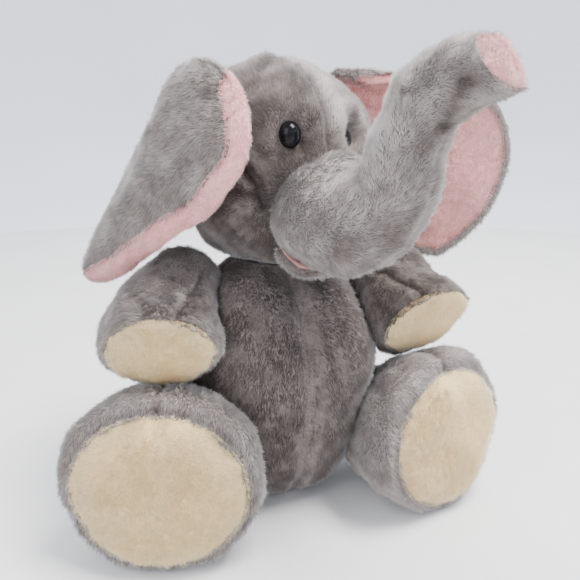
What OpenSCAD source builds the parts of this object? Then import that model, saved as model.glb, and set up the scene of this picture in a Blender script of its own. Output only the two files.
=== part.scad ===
// Sitting stuffed elephant: sewn plush skins over stuffing, long trunk raised in front,
// big pink-lined ears, cream paw pads and soles. The elephant faces -Y, its left is +X, +Z is up.
// The origin is on the seat plane, below the middle of the body.

/* [Body] */
// Height of the body from the seat to the neck
body_h = 138; // [120:1:160]
// Widest width of the body
body_w = 106; // [98:1:116]
// Widest depth of the body
body_d = 102; // [94:1:110]
// Thickness of the sewn plush skin
skin_t = 2; // [1.4:0.1:2.4]

/* [Head] */
// Diameter of the head
head_dia = 104; // [98:1:108]
// Height of the middle of the head above the seat
head_z = 181; // [178:1:190]
// How far the head is turned to the elephant's left
head_turn = 11; // [0:1:20]
// Diameter of one eye
eye_dia = 10.5; // [9:0.5:14]
// Height of the eyes above the middle of the head
eye_up = 15; // [10:1:20]
// Distance of each eye from the middle seam
eye_out = 18; // [14:1:24]

/* [Trunk] */
// Diameter of the round root of the trunk
trunk_dia = 53; // [50:1:56]
// Diameter of the trunk just below the fold
trunk_neck_dia = 37.5; // [36:0.5:40]
// Diameter of the trunk at its tip
trunk_tip_dia = 24.5; // [22:0.5:28]

/* [Ears] */
// Length of one ear from its seam to its tip
ear_l = 106; // [96:1:114]
// Widest width of one ear
ear_w = 86; // [70:1:92]
// Thickness of one ear
ear_t = 11; // [8:0.5:13]
// How far the left ear is swung forwards from its open position
ear_open = 0; // [-10:1:10]

/* [Arms] */
// Widest width of one arm
arm_w = 57; // [50:1:59]
// Sideways position of each shoulder
arm_x = 50; // [49:1:54]
// Bulge of the paw pad
pad_bulge = 6; // [3:1:8]

/* [Legs] */
// Widest width of one leg at the foot
leg_w = 92; // [84:1:94]
// Sideways position of each hip
leg_x = 54; // [52:1:57]
// Angle each leg points outwards from straight ahead
leg_splay = 20; // [16:1:26]
// Bulge of the sole
sole_bulge = 5; // [3:1:7]

/* [Hidden] */
$fn = 64;
gap = 2.6;
up_z = [0, 0, 1];
turns_small = 16;
turns_big = 20;
body_turns = 28;
root_angles = [14, 34, 54, 72];
thread_r = 0.8;
plush_grey = [0.60, 0.57, 0.54];
plush_shade = [0.52, 0.49, 0.47];
ear_pink = [0.90, 0.68, 0.66];
pad_cream = [0.92, 0.85, 0.74];
fill_white = [0.94, 0.94, 0.92];
eye_black = [0.04, 0.04, 0.05];
thread_grey = [0.42, 0.40, 0.39];
washer_white = [0.85, 0.85, 0.82];

head_r = head_dia / 2;
head_c = [0, 4, head_z];
trunk_r = trunk_dia / 2;
trunk_c = [0, -52, -22];
fold_r = 14;
shoulder_r = 18;
shoulder_c = [arm_x, 0, 123];
hip_r = 26;
hip_c = [leg_x, 4, 35];
tail_c = [0, 51, 26];
tail_r = 6;

// ---------- small vector helpers ----------
function unit(v) = v / norm(v);
function mix(a, b, t) = a + (b - a) * t;
function flip(p) = [-p[0], p[1], p[2]];
function turn_z(p, a) = [p[0] * cos(a) - p[1] * sin(a), p[0] * sin(a) + p[1] * cos(a), p[2]];

// Smooth curve through a list of stations, t from 0 to 1
function curve(P, t) =
  let (n = len(P) - 1, s = min(t, 1) * n, i = min(floor(s), n - 1), f = s - i)
  let (a = P[max(i - 1, 0)], b = P[i], c = P[i + 1], d = P[min(i + 2, n)])
  b + (c - a) * f / 2 + (a - 2.5 * b + 2 * c - 0.5 * d) * f * f
    + (1.5 * (b - c) + 0.5 * (d - a)) * f * f * f;

// Surface points are pressed out of the balls that turn inside them
function out_of(p, ball, extra) =
  let (v = p - ball[0], r = ball[1] + extra)
  norm(v) >= r ? p : ball[0] + unit(v) * r;
function press(p, balls, extra, i = 0) =
  i == len(balls) ? p : press(out_of(p, balls[i], extra), balls, extra, i + 1);

// ---------- rows of a stuffed tube: [centre, direction, half width, half depth] ----------
function xyz(s) = [s[0], s[1], s[2]];
function root_rows(c, d, r) =
  [for (a = root_angles) [c - d * r * cos(a), d, r * sin(a), r * sin(a)]];
function body_rows(stations, n) =
  [for (i = [0 : n])
    let (t = i / n, s = curve(stations, t))
    let (e = curve(stations, min(t + 0.04, 1)) - curve(stations, max(t - 0.04, 0)))
    [xyz(s), unit(xyz(e)), s[3], s[4]]];
function inner_rows(rows, t) =
  [for (i = [0 : len(rows) - 1])
    let (r = rows[i], a = rows[max(i - 1, 0)], b = rows[min(i + 1, len(rows) - 1)])
    let (run = norm(b[0] - a[0]), rise = (b[2] + b[3] - a[2] - a[3]) / 2)
    let (slant = norm([run, rise]), last = i == len(rows) - 1)
    last ? [r[0], r[1], r[2] - t, r[3] - t]
      : [r[0] + r[1] * t * rise / slant, r[1], r[2] - t * run / slant, r[3] - t * run / slant]];
function end_rows(row, bulge) =
  [for (s = [0.88, 0.66, 0.36])
    [row[0] + row[1] * bulge * (1 - s * s), row[1], row[2] * s, row[3] * s]];
function end_point(row, bulge) = row[0] + row[1] * bulge;

function ring(row, side, turns) =
  let (d = row[1], s = unit(side - d * (side * d)), n = cross(d, s))
  [for (j = [0 : turns - 1])
    row[0] + s * row[2] * cos(360 * j / turns) + n * row[3] * sin(360 * j / turns)];
function rings(rows, side, turns, balls = [], extra = 0) =
  [for (r = rows) [for (p = ring(r, side, turns)) press(p, balls, extra)]];

// ---------- closed solids from rings of points ----------
function quad(a, b, c, d) = [[a, c, b], [a, d, c]];
function flat_list(L) = [for (a = L) for (b = a) b];

// Part of a tube wall, from point j0 to point j1 of every ring
module wall(outer, inner, j0, j1) {
  turns = len(outer[0]);
  m = j1 - j0;
  n = len(outer) - 1;
  w = m + 1;
  k = w * (n + 1);
  outer_pts = [for (r = outer) for (j = [j0 : j1]) r[j % turns]];
  inner_pts = [for (r = inner) for (j = [j0 : j1]) r[j % turns]];
  skin_faces = [for (i = [0 : n - 1]) for (j = [0 : m - 1])
    for (q = quad(i * w + j, i * w + j + 1, (i + 1) * w + j + 1, (i + 1) * w + j)) q];
  lining_faces = [for (f = skin_faces) [f[2] + k, f[1] + k, f[0] + k]];
  side_faces = [for (i = [0 : n - 1])
    for (q = concat(quad(i * w, (i + 1) * w, (i + 1) * w + k, i * w + k),
      quad(i * w + m, i * w + m + k, (i + 1) * w + m + k, (i + 1) * w + m))) q];
  rim_faces = [for (j = [0 : m - 1])
    for (q = concat(quad(j, j + k, j + 1 + k, j + 1),
      quad(n * w + j, n * w + j + 1, n * w + j + 1 + k, n * w + j + k))) q];
  polyhedron(points = concat(outer_pts, inner_pts),
    faces = concat(skin_faces, lining_faces, side_faces, rim_faces));
}

// Closed cap: rings from the rim to the middle point, outside and inside
module cap(outer, inner, outer_top, inner_top) {
  w = len(outer[0]);
  n = len(outer) - 1;
  k = w * (n + 1);
  pts = concat(flat_list(outer), flat_list(inner), [outer_top, inner_top]);
  skin_faces = concat([for (i = [0 : n - 1]) for (j = [0 : w - 1])
    for (q = quad(i * w + j, i * w + (j + 1) % w, (i + 1) * w + (j + 1) % w, (i + 1) * w + j)) q],
    [for (j = [0 : w - 1]) [n * w + j, 2 * k, n * w + (j + 1) % w]]);
  lining_faces = [for (f = skin_faces)
    [for (v = [f[2], f[1], f[0]]) v == 2 * k ? 2 * k + 1 : v + k]];
  rim_faces = [for (j = [0 : w - 1]) for (q = quad(j, j + k, (j + 1) % w + k, (j + 1) % w)) q];
  polyhedron(points = pts, faces = concat(skin_faces, lining_faces, rim_faces));
}

// Filled shape: all rings, closed with a middle point at each end
module filled(rows, start, finish) {
  w = len(rows[0]);
  n = len(rows) - 1;
  k = w * (n + 1);
  side_faces = [for (i = [0 : n - 1]) for (j = [0 : w - 1])
    for (q = quad(i * w + j, i * w + (j + 1) % w, (i + 1) * w + (j + 1) % w, (i + 1) * w + j)) q];
  start_faces = [for (j = [0 : w - 1]) [j, (j + 1) % w, k]];
  end_faces = [for (j = [0 : w - 1]) [n * w + j, k + 1, n * w + (j + 1) % w]];
  polyhedron(points = concat(flat_list(rows), [start, finish]),
    faces = concat(side_faces, start_faces, end_faces));
}

// Ring of sewing thread lying on a ball, seen along the direction of the limb
module thread_ring(ball_r, angle) {
  translate([0, 0, -ball_r * cos(angle)])
    rotate_extrude($fn = 48)
      translate([ball_r * sin(angle), 0])
        circle(r = thread_r, $fn = 12);
}

// ---------- a limb: ball-shaped root, tube of two panels, padded end ----------
function limb_rows(c, stations, r, n) =
  concat(root_rows(c, unit(xyz(curve(stations, 0.04)) - xyz(stations[0])), r),
    body_rows(stations, n));
function limb_inner(c, stations, r, n) =
  concat(root_rows(c, unit(xyz(curve(stations, 0.04)) - xyz(stations[0])), r - skin_t),
    inner_rows(body_rows(stations, n), skin_t));
function last_of(L) = L[len(L) - 1];

module limb_panel(c, stations, r, n, side, turns, j0, j1) {
  wall(rings(limb_rows(c, stations, r, n), side, turns),
    rings(limb_inner(c, stations, r, n), side, turns), j0, j1);
}

module limb_pad(c, stations, r, n, side, turns, bulge) {
  outer_end = last_of(limb_rows(c, stations, r, n));
  inner_end = last_of(limb_inner(c, stations, r, n));
  cap(rings(concat([outer_end], end_rows(outer_end, bulge)), side, turns),
    rings(concat([inner_end], end_rows(inner_end, bulge - skin_t)), side, turns),
    end_point(outer_end, bulge), end_point(inner_end, bulge - skin_t));
}

module limb_filling(c, stations, r, n, side, turns, bulge) {
  rows = limb_inner(c, stations, r, n);
  inner_end = last_of(rows);
  d = rows[0][1];
  filled(rings(concat(rows, end_rows(inner_end, bulge - skin_t)), side, turns),
    c - d * (r - skin_t) * cos(root_angles[0]), end_point(inner_end, bulge - skin_t));
}

// ---------- arms ----------
function arm_stations() =
  [[arm_x, 0, 123, shoulder_r, shoulder_r],
   [arm_x + 8, -8, 113, arm_w * 0.41, 22],
   [arm_x + 14, -18, 105.5, arm_w * 0.48, 23.5],
   [arm_x + 18.5, -28.5, 101, arm_w / 2, 23.5],
   [arm_x + 20.5, -38, 99.5, arm_w * 0.47, 21.5]];
arm_side = [1, 0, 0];
arm_n = 6;

module arm_panel(j0, j1) {
  limb_panel(shoulder_c, arm_stations(), shoulder_r, arm_n, arm_side, turns_small, j0, j1);
}
module arm_pad() {
  limb_pad(shoulder_c, arm_stations(), shoulder_r, arm_n, arm_side, turns_small, pad_bulge);
}
module arm_filling() {
  limb_filling(shoulder_c, arm_stations(), shoulder_r, arm_n, arm_side, turns_small, pad_bulge);
}
module arm_thread() {
  aim = unit(xyz(arm_stations()[1]) - shoulder_c);
  translate(shoulder_c)
    rotate([0, acos(aim[2]), atan2(aim[1], aim[0])])
      thread_ring(shoulder_r + gap / 2, 50);
}

// ---------- legs ----------
leg_d = [sin(leg_splay), -cos(leg_splay), 0];
function leg_station(reach, rise, wide, high) =
  concat(hip_c + leg_d * reach + up_z * rise, [wide, high]);
function leg_stations() =
  [leg_station(0, 0, hip_r, hip_r),
   leg_station(14, 0, hip_r + 4, hip_r + 1.5),
   leg_station(28, 0.5, leg_w * 0.41, 30),
   leg_station(41, 3, leg_w * 0.475, 36.5),
   leg_station(52, 5.2, leg_w / 2, 39.8),
   leg_station(60, 6.0, leg_w * 0.49, 39),
   leg_station(66, 6.6, leg_w * 0.45, 36.2)];
leg_side = [cos(leg_splay), sin(leg_splay), 0];
leg_n = 7;
leg_clear = 16;

module leg_panel(j0, j1) {
  limb_panel(hip_c, leg_stations(), hip_r, leg_n, leg_side, turns_big, j0, j1);
}
module leg_sole() {
  limb_pad(hip_c, leg_stations(), hip_r, leg_n, leg_side, turns_big, sole_bulge);
}
module leg_filling() {
  limb_filling(hip_c, leg_stations(), hip_r, leg_n, leg_side, turns_big, sole_bulge);
}
module leg_thread() {
  translate(hip_c)
    rotate([0, 90, leg_splay - 90])
      thread_ring(hip_r + gap / 2, 52);
}

// ---------- tail ----------
function tail_stations() =
  [[0, 51, 26, tail_r, tail_r],
   [1, 58, 23, 5.6, 5.6],
   [3, 66, 18, 5.2, 5.2],
   [5, 73, 14, 5.8, 5.8],
   [6, 79, 11, 7, 7]];
tail_side = [1, 0, 0];
tail_n = 6;
tail_turns = 12;
tail_bulge = 9;

module tail_panel(j0, j1) {
  limb_panel(tail_c, tail_stations(), tail_r, tail_n, tail_side, tail_turns, j0, j1);
}
module tail_tuft() {
  limb_pad(tail_c, tail_stations(), tail_r, tail_n, tail_side, tail_turns, tail_bulge);
}
module tail_filling() {
  limb_filling(tail_c, tail_stations(), tail_r, tail_n, tail_side, tail_turns, tail_bulge);
}

// ---------- body ----------
arm_clear = 4.7;
arm_balls = [for (s = arm_stations()) [xyz(s), (s[3] + s[4]) / 2 + arm_clear]];
body_balls = concat(arm_balls, [for (b = arm_balls) [flip(b[0]), b[1]]]);
seat_r = 21;

function body_stations() =
  [[0, 7, 0, 24, 23],
   [0, 6, 0.06 * body_h, body_w * 0.29, body_d * 0.30],
   [0, 5, 0.15 * body_h, body_w * 0.355, body_d * 0.39],
   [0, 3, 0.28 * body_h, body_w * 0.41, body_d * 0.455],
   [0, 1, 0.43 * body_h, body_w * 0.47, body_d * 0.495],
   [0, 0, 0.57 * body_h, body_w * 0.50, body_d * 0.50],
   [0, 1, 0.70 * body_h, body_w * 0.485, body_d * 0.46],
   [0, 2, 0.82 * body_h, body_w * 0.41, body_d * 0.36],
   [0, 4, 0.91 * body_h, body_w * 0.30, body_d * 0.25],
   [0, 4, 0.97 * body_h, body_w * 0.19, body_d * 0.18],
   [0, 4, body_h, 3, 3]];
body_n = 16;

function level(rows) = [for (r = rows) [r[0], up_z, r[2], r[3]]];
function body_outer() = rings(level(body_rows(body_stations(), body_n)), arm_side,
  body_turns, body_balls, 0);
function sink(rows, t) =
  [for (i = [0 : len(rows) - 1]) i == 0 ? [rows[0][0] + up_z * t, up_z, seat_r, seat_r]
    : rows[i]];
function body_inner() = rings(sink(inner_rows(level(body_rows(body_stations(), body_n)), skin_t),
  skin_t), arm_side, body_turns, body_balls, skin_t);

// Round sockets for the head, the tail and, on each side, the shoulder and the swinging leg
module body_sockets() {
  translate(head_c)
    sphere(r = head_r + gap);
  translate(tail_c)
    sphere(r = tail_r + gap);
  for (side = [0, 1])
    mirror([side, 0, 0])
      union() {
        translate(shoulder_c)
          sphere(r = shoulder_r + gap);
        translate(hip_c)
          sphere(r = hip_r + gap);
        translate(hip_c + leg_d * leg_clear)
          sphere(r = hip_r + gap + 5);
        translate(hip_c + leg_d * leg_clear * 2)
          sphere(r = hip_r + gap + 11);
      }
}
module body_panel(j0, j1) {
  difference() {
    wall(body_outer(), body_inner(), j0, j1);
    body_sockets();
  }
}
module torso_front_left() {
  color(plush_grey)
    body_panel(21, 28);
}
module torso_front_right() {
  color(plush_grey)
    body_panel(14, 21);
}
module torso_back_left() {
  color(plush_shade)
    body_panel(0, 7);
}
module torso_back_right() {
  color(plush_shade)
    body_panel(7, 14);
}
module torso_base() {
  color(plush_shade)
    translate([0, 7, 0])
      cylinder(h = skin_t, r = seat_r - 0.6);
}
module torso_stuffing() {
  rows = body_inner();
  color(fill_white)
    difference() {
      filled(rows, [0, 7, skin_t], last_of(rows)[0] - [3, 0, 0]);
      body_sockets();
    }
}

// ---------- neck ----------
module neck_thread() {
  color(thread_grey)
    translate(head_c)
      thread_ring(head_r + gap / 2, 30);
}

// ---------- head: two half skins that meet at the middle seam ----------
head_angles = [0, 13, 26, 39, 52, 65, 77];
head_turns = 28;

function head_rows(r) = [for (a = head_angles) [[r * sin(a), 0, 0], [1, 0, 0], r * cos(a), r * cos(a)]];
head_side = [0, 1, 0];

module head_half() {
  cap(rings(head_rows(head_r), head_side, head_turns),
    rings(head_rows(head_r - skin_t), head_side, head_turns),
    [head_r, 0, 0], [head_r - skin_t, 0, 0]);
}
module trunk_socket() {
  translate(trunk_c)
    sphere(r = trunk_r + gap);
}
function half_filling(s) =
  [for (r = rings(head_rows(head_r - skin_t), head_side, head_turns))
    [for (p = r) [s * p[0], p[1], p[2]]]];
function backwards(L) = [for (i = [len(L) - 1 : -1 : 1]) L[i]];

eye_aim = unit([eye_out, -46, eye_up]);
eye_turn = [0, acos(eye_aim[2]), atan2(eye_aim[1], eye_aim[0])];
eye_seat = head_r - 1.1;
eye_flat = 0.75;
shank_r = 2;
washer_r = 6;

module eye_place(side) {
  mirror([side < 0 ? 1 : 0, 0, 0])
    rotate(eye_turn)
      children();
}
module eye_hole(side) {
  eye_place(side)
    union() {
      translate([0, 0, eye_seat])
        cylinder(h = 8, r = eye_dia / 2 + 0.3);
      translate([0, 0, head_r - 12])
        cylinder(h = 16, r = shank_r + 0.3);
    }
}
module eye(side) {
  eye_place(side)
    union() {
      translate([0, 0, eye_seat + 0.1])
        rotate_extrude()
          polygon(concat([[0, 0]],
            [for (a = [0 : 9 : 81]) [cos(a), eye_flat * sin(a)] * eye_dia / 2],
            [[0, eye_flat * eye_dia / 2]]));
      translate([0, 0, head_r - 10])
        cylinder(h = 9.4, r = shank_r);
    }
}
module eye_washer(side) {
  eye_place(side)
    translate([0, 0, head_r - 7])
      difference() {
        cylinder(h = 1.6, r = washer_r);
        translate([0, 0, -1])
          cylinder(h = 4, r = shank_r + 0.1);
      }
}
module eye_cavity(side) {
  eye_place(side)
    union() {
      translate([0, 0, head_r - 10.4])
        cylinder(h = 16, r = shank_r + 0.3);
      translate([0, 0, head_r - 7.3])
        cylinder(h = 2.2, r = washer_r + 0.3);
    }
}
module head_place() {
  translate(head_c)
    rotate([0, 0, head_turn])
      children();
}
module head_left() {
  color(plush_grey)
    head_place()
      difference() {
        head_half();
        trunk_socket();
        eye_hole(1);
      }
}
module head_right() {
  color(plush_grey)
    head_place()
      difference() {
        mirror([1, 0, 0])
          head_half();
        trunk_socket();
        eye_hole(-1);
      }
}
module head_stuffing() {
  color(fill_white)
    head_place()
      difference() {
        filled(concat(backwards(half_filling(-1)), half_filling(1)),
          [skin_t - head_r, 0, 0], [head_r - skin_t, 0, 0]);
        trunk_socket();
        eye_cavity(1);
        eye_cavity(-1);
      }
}
module eye_left() {
  color(eye_black)
    head_place()
      eye(1);
}
module eye_right() {
  color(eye_black)
    head_place()
      eye(-1);
}
module eye_washer_left() {
  color(washer_white)
    head_place()
      eye_washer(1);
}
module eye_washer_right() {
  color(washer_white)
    head_place()
      eye_washer(-1);
}

// ---------- trunk: round root that rises to a fold, then the tip ----------
trunk_side = [1, 0, 0];
trunk_n = 8;
fold_c = [12.5, -93.5, 26];
function trunk_stations() =
  [concat(trunk_c, [trunk_r, trunk_r]),
   [1, -60, -23, 26, 25.4],
   [4, -72, -20.5, 23.8, 22.6],
   [7, -81, -13, 21, 20],
   [9.5, -86, -4, 19, 19],
   [11, -88.5, 7, 18.4, 18.4],
   [12, -91.5, 18, trunk_neck_dia / 2, trunk_neck_dia / 2]];
tip_stations = [[12.5, -93.5, 26, fold_r, fold_r],
   [13.5, -100, 30.5, 15.6, 15.2],
   [15, -109, 33.5, 14.8, 14.4],
   [17, -118, 36, 13.8, 13.4],
   [19, -126, 38.5, trunk_tip_dia / 2, trunk_tip_dia / 2]];
tip_n = 6;
tip_bulge = 3.5;
fold_ball = [[fold_c, fold_r + gap]];

function trunk_outer() = rings(limb_rows(trunk_c, trunk_stations(), trunk_r, trunk_n),
  trunk_side, turns_small);
function trunk_inner() = rings(limb_inner(trunk_c, trunk_stations(), trunk_r, trunk_n),
  trunk_side, turns_small);
function trunk_end_rows() =
  let (e = last_of(limb_inner(trunk_c, trunk_stations(), trunk_r, trunk_n)))
  rings(end_rows(e, 0), trunk_side, turns_small, fold_ball, 0);

module trunk_panel(j0, j1) {
  wall(trunk_outer(), trunk_inner(), j0, j1);
}
module trunk_root_left() {
  color(plush_grey)
    head_place()
      trunk_panel(12, 20);
}
module trunk_root_right() {
  color(plush_grey)
    head_place()
      trunk_panel(4, 12);
}
module trunk_root_stuffing() {
  rows = trunk_inner();
  middle = last_of(trunk_stations());
  first = limb_inner(trunk_c, trunk_stations(), trunk_r, trunk_n)[0];
  color(fill_white)
    head_place()
      filled(concat(rows, trunk_end_rows()), first[0], press(xyz(middle), fold_ball, 0));
}
module tip_panel(j0, j1) {
  limb_panel(fold_c, tip_stations, fold_r, tip_n, trunk_side, turns_small, j0, j1);
}
module trunk_tip_left() {
  color(plush_grey)
    head_place()
      tip_panel(12, 20);
}
module trunk_tip_right() {
  color(plush_grey)
    head_place()
      tip_panel(4, 12);
}
module trunk_tip_pad() {
  color(ear_pink)
    head_place()
      limb_pad(fold_c, tip_stations, fold_r, tip_n, trunk_side, turns_small, tip_bulge);
}
module trunk_tip_stuffing() {
  color(fill_white)
    head_place()
      limb_filling(fold_c, tip_stations, fold_r, tip_n, trunk_side, turns_small, tip_bulge);
}

// ---------- soft flaps: a back skin, a lining, and wadding between them ----------
// rows: [middle point, across direction, facing direction, half width, outward bulge]
flap_cells = 8;
function flap_mid(row, j) =
  let (v = 2 * j / flap_cells - 1)
  row[0] + row[1] * row[3] * v - row[2] * row[4] * (1 - v * v);
function flap_puff(i, n, j, t) =
  let (a = 1 - pow(abs(2 * j / flap_cells - 1), 2.6), b = 1 - pow(abs(2 * i / n - 1), 4))
  t * sqrt(max(0, a * b));
function flap_grid(rows, t, side, skin) =
  [for (i = [0 : len(rows) - 1]) [for (j = [0 : flap_cells])
    flap_mid(rows[i], j)
      + rows[i][2] * side * (flap_puff(i, len(rows) - 1, j, t) + skin)]];

module sheet(top, under) {
  wall(under, top, 0, len(top[0]) - 1);
}

// ---------- ears ----------
// Each station holds a point of the front edge and the matching point of the back edge
ear_root = [36, 8, 46];
function hanging_ear() =
  [[34, 2, 48, 37, 15, 45],
   [36, -27, 38, 47, 24, 31],
   [38, -45, 22, 54, 31, 14],
   [43, -50, 4, 62, 37, -4],
   [51, -42, -11, 70, 40, -20],
   [66, -14, -33, 79, 42, -37],
   [80, 16, -51, 86, 41, -52],
   [86, 31, -58, 88, 38, -58]];
function open_ear() =
  [[52, -4, 42, 38, 11, 46],
   [70, -14, 44, 43, 12, 40],
   [100, -26, 43, 47, 14, 28],
   [123, -34, 33, 52, 15, 12],
   [135, -38, 6, 57, 15, -6],
   [129, -34, -24, 64, 13, -24],
   [117, -25, -45, 75, 8, -40],
   [105, -16, -56, 92, -5, -54]];
ear_reach = ear_l / 106;
ear_spread = ear_w / 86;
ear_axis = unit([0.35, 0.1, -0.93]);
ear_n = 12;
ear_half = ear_t / 2 - skin_t;
open_bulge = 6;
hanging_bulge = 9.5;

function back_edge(s) = [s[3], s[4], s[5]];
function ear_rows(stations, bulge) =
  [for (i = [0 : ear_n])
    let (t = i / ear_n, s = curve(stations, t), a = curve(stations, max(t - 0.05, 0)))
    let (b = curve(stations, min(t + 0.05, 1)), v = unit(xyz(s) - back_edge(s)))
    let (run = xyz(b) + back_edge(b) - xyz(a) - back_edge(a), w = norm(xyz(s) - back_edge(s)) / 2)
    let (m = ear_root + ((xyz(s) + back_edge(s)) / 2 - ear_root) * ear_reach)
    [m, v, unit(cross(run, v)), w * ear_spread, min(bulge, w * 0.24)]];

function ear_wad(rows, side) =
  let (g = flap_grid(rows, ear_half, side, 0))
  [for (i = [1 : ear_n - 1]) [for (j = [1 : flap_cells - 1]) g[i][j]]];

module ear_back(rows) {
  sheet(flap_grid(rows, ear_half, -1, 0), flap_grid(rows, ear_half, -1, skin_t));
}
module ear_lining(rows) {
  sheet(flap_grid(rows, ear_half, 1, skin_t), flap_grid(rows, ear_half, 1, 0));
}
module ear_wadding(rows) {
  sheet(ear_wad(rows, 1), ear_wad(rows, -1));
}
module right_side() {
  head_place()
    mirror([1, 0, 0])
      children();
}
module left_side() {
  head_place()
    rotate(a = ear_open, v = ear_axis)
      children();
}
module ear_left_back() {
  color(plush_grey)
    left_side()
      ear_back(ear_rows(open_ear(), open_bulge));
}
module ear_left_lining() {
  color(ear_pink)
    left_side()
      ear_lining(ear_rows(open_ear(), open_bulge));
}
module ear_left_wadding() {
  color(fill_white)
    left_side()
      ear_wadding(ear_rows(open_ear(), open_bulge));
}
module ear_right_back() {
  color(plush_grey)
    right_side()
      ear_back(ear_rows(hanging_ear(), hanging_bulge));
}
module ear_right_lining() {
  color(ear_pink)
    right_side()
      ear_lining(ear_rows(hanging_ear(), hanging_bulge));
}
module ear_right_wadding() {
  color(fill_white)
    right_side()
      ear_wadding(ear_rows(hanging_ear(), hanging_bulge));
}

// ---------- lower lip: hugs the round root of the trunk, hinged at its back edge ----------
jaw_r = 30.4;
jaw_t = 7;
jaw_half = jaw_t / 2 - skin_t;
jaw_back = 43;
jaw_front = 16;
jaw_side = 46;
jaw_n = 6;

function jaw_way(i, j) =
  let (w = 1 - 0.45 * pow(i / jaw_n, 3))
  let (a = mix(jaw_back, jaw_front, i / jaw_n), b = jaw_side * w * (2 * j / flap_cells - 1))
  [sin(b), sin(a) * cos(b), -cos(a) * cos(b)];
function jaw_grid(side, skin) =
  [for (i = [0 : jaw_n]) [for (j = [0 : flap_cells])
    trunk_c + jaw_way(i, j) * (jaw_r + side * (flap_puff(i, jaw_n, j, jaw_half) + skin))]];
function jaw_wad(side) =
  let (g = jaw_grid(side, 0))
  [for (i = [1 : jaw_n - 1]) [for (j = [1 : flap_cells - 1]) g[i][j]]];

module jaw_skin() {
  color(plush_grey)
    head_place()
      sheet(jaw_grid(1, 0), jaw_grid(1, skin_t));
}
module jaw_lining() {
  color(ear_pink)
    head_place()
      sheet(jaw_grid(-1, skin_t), jaw_grid(-1, 0));
}
module jaw_stuffing() {
  color(fill_white)
    head_place()
      sheet(jaw_wad(-1), jaw_wad(1));
}

// ---------- named pieces of the limbs ----------
module arm_left_outer() {
  color(plush_grey)
    arm_panel(12, 20);
}
module arm_left_inner() {
  color(plush_shade)
    arm_panel(4, 12);
}
module arm_left_pad() {
  color(pad_cream)
    arm_pad();
}
module arm_left_stuffing() {
  color(fill_white)
    arm_filling();
}
module arm_left_thread() {
  color(thread_grey)
    arm_thread();
}
module arm_right_outer() {
  color(plush_grey)
    mirror([1, 0, 0])
      arm_panel(12, 20);
}
module arm_right_inner() {
  color(plush_shade)
    mirror([1, 0, 0])
      arm_panel(4, 12);
}
module arm_right_pad() {
  color(pad_cream)
    mirror([1, 0, 0])
      arm_pad();
}
module arm_right_stuffing() {
  color(fill_white)
    mirror([1, 0, 0])
      arm_filling();
}
module arm_right_thread() {
  color(thread_grey)
    mirror([1, 0, 0])
      arm_thread();
}
module leg_left_outer() {
  color(plush_grey)
    leg_panel(15, 25);
}
module leg_left_inner() {
  color(plush_shade)
    leg_panel(5, 15);
}
module leg_left_sole() {
  color(pad_cream)
    leg_sole();
}
module leg_left_stuffing() {
  color(fill_white)
    leg_filling();
}
module leg_left_thread() {
  color(thread_grey)
    leg_thread();
}
module leg_right_outer() {
  color(plush_grey)
    mirror([1, 0, 0])
      leg_panel(15, 25);
}
module leg_right_inner() {
  color(plush_shade)
    mirror([1, 0, 0])
      leg_panel(5, 15);
}
module leg_right_sole() {
  color(pad_cream)
    mirror([1, 0, 0])
      leg_sole();
}
module leg_right_stuffing() {
  color(fill_white)
    mirror([1, 0, 0])
      leg_filling();
}
module leg_right_thread() {
  color(thread_grey)
    mirror([1, 0, 0])
      leg_thread();
}
module tail_left() {
  color(plush_grey)
    tail_panel(9, 15);
}
module tail_right() {
  color(plush_grey)
    tail_panel(3, 9);
}
module tail_end_tuft() {
  color(plush_shade)
    tail_tuft();
}
module tail_stuffing() {
  color(fill_white)
    tail_filling();
}

torso_front_left();
torso_front_right();
torso_back_left();
torso_back_right();
torso_base();
torso_stuffing();
neck_thread();
head_left();
head_right();
head_stuffing();
eye_left();
eye_right();
eye_washer_left();
eye_washer_right();
trunk_root_left();
trunk_root_right();
trunk_root_stuffing();
trunk_tip_left();
trunk_tip_right();
trunk_tip_pad();
trunk_tip_stuffing();
jaw_skin();
jaw_lining();
jaw_stuffing();
ear_left_back();
ear_left_lining();
ear_left_wadding();
ear_right_back();
ear_right_lining();
ear_right_wadding();
arm_left_outer();
arm_left_inner();
arm_left_pad();
arm_left_stuffing();
arm_left_thread();
arm_right_outer();
arm_right_inner();
arm_right_pad();
arm_right_stuffing();
arm_right_thread();
leg_left_outer();
leg_left_inner();
leg_left_sole();
leg_left_stuffing();
leg_left_thread();
leg_right_outer();
leg_right_inner();
leg_right_sole();
leg_right_stuffing();
leg_right_thread();
tail_left();
tail_right();
tail_end_tuft();
tail_stuffing();
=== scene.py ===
import math
import bmesh
import bpy
import numpy as np
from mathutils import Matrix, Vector


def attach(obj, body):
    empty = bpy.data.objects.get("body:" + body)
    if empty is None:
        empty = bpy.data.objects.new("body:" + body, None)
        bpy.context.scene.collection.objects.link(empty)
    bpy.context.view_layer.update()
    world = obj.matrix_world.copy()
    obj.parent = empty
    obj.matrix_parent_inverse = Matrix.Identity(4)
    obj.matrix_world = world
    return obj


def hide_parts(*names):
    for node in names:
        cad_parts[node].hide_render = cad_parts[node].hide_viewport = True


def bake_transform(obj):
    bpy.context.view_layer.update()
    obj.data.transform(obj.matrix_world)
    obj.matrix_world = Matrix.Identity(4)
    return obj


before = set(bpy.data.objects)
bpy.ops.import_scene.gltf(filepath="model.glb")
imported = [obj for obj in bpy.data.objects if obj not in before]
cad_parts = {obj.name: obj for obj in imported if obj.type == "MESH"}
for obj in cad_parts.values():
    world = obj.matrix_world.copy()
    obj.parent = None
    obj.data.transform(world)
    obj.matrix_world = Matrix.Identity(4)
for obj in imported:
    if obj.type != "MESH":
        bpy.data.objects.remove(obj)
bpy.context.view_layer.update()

MM = 0.001            # the shapes below are in millimetres
INSET = 1.3           # skins lie this far in, to leave room for the pile
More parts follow.
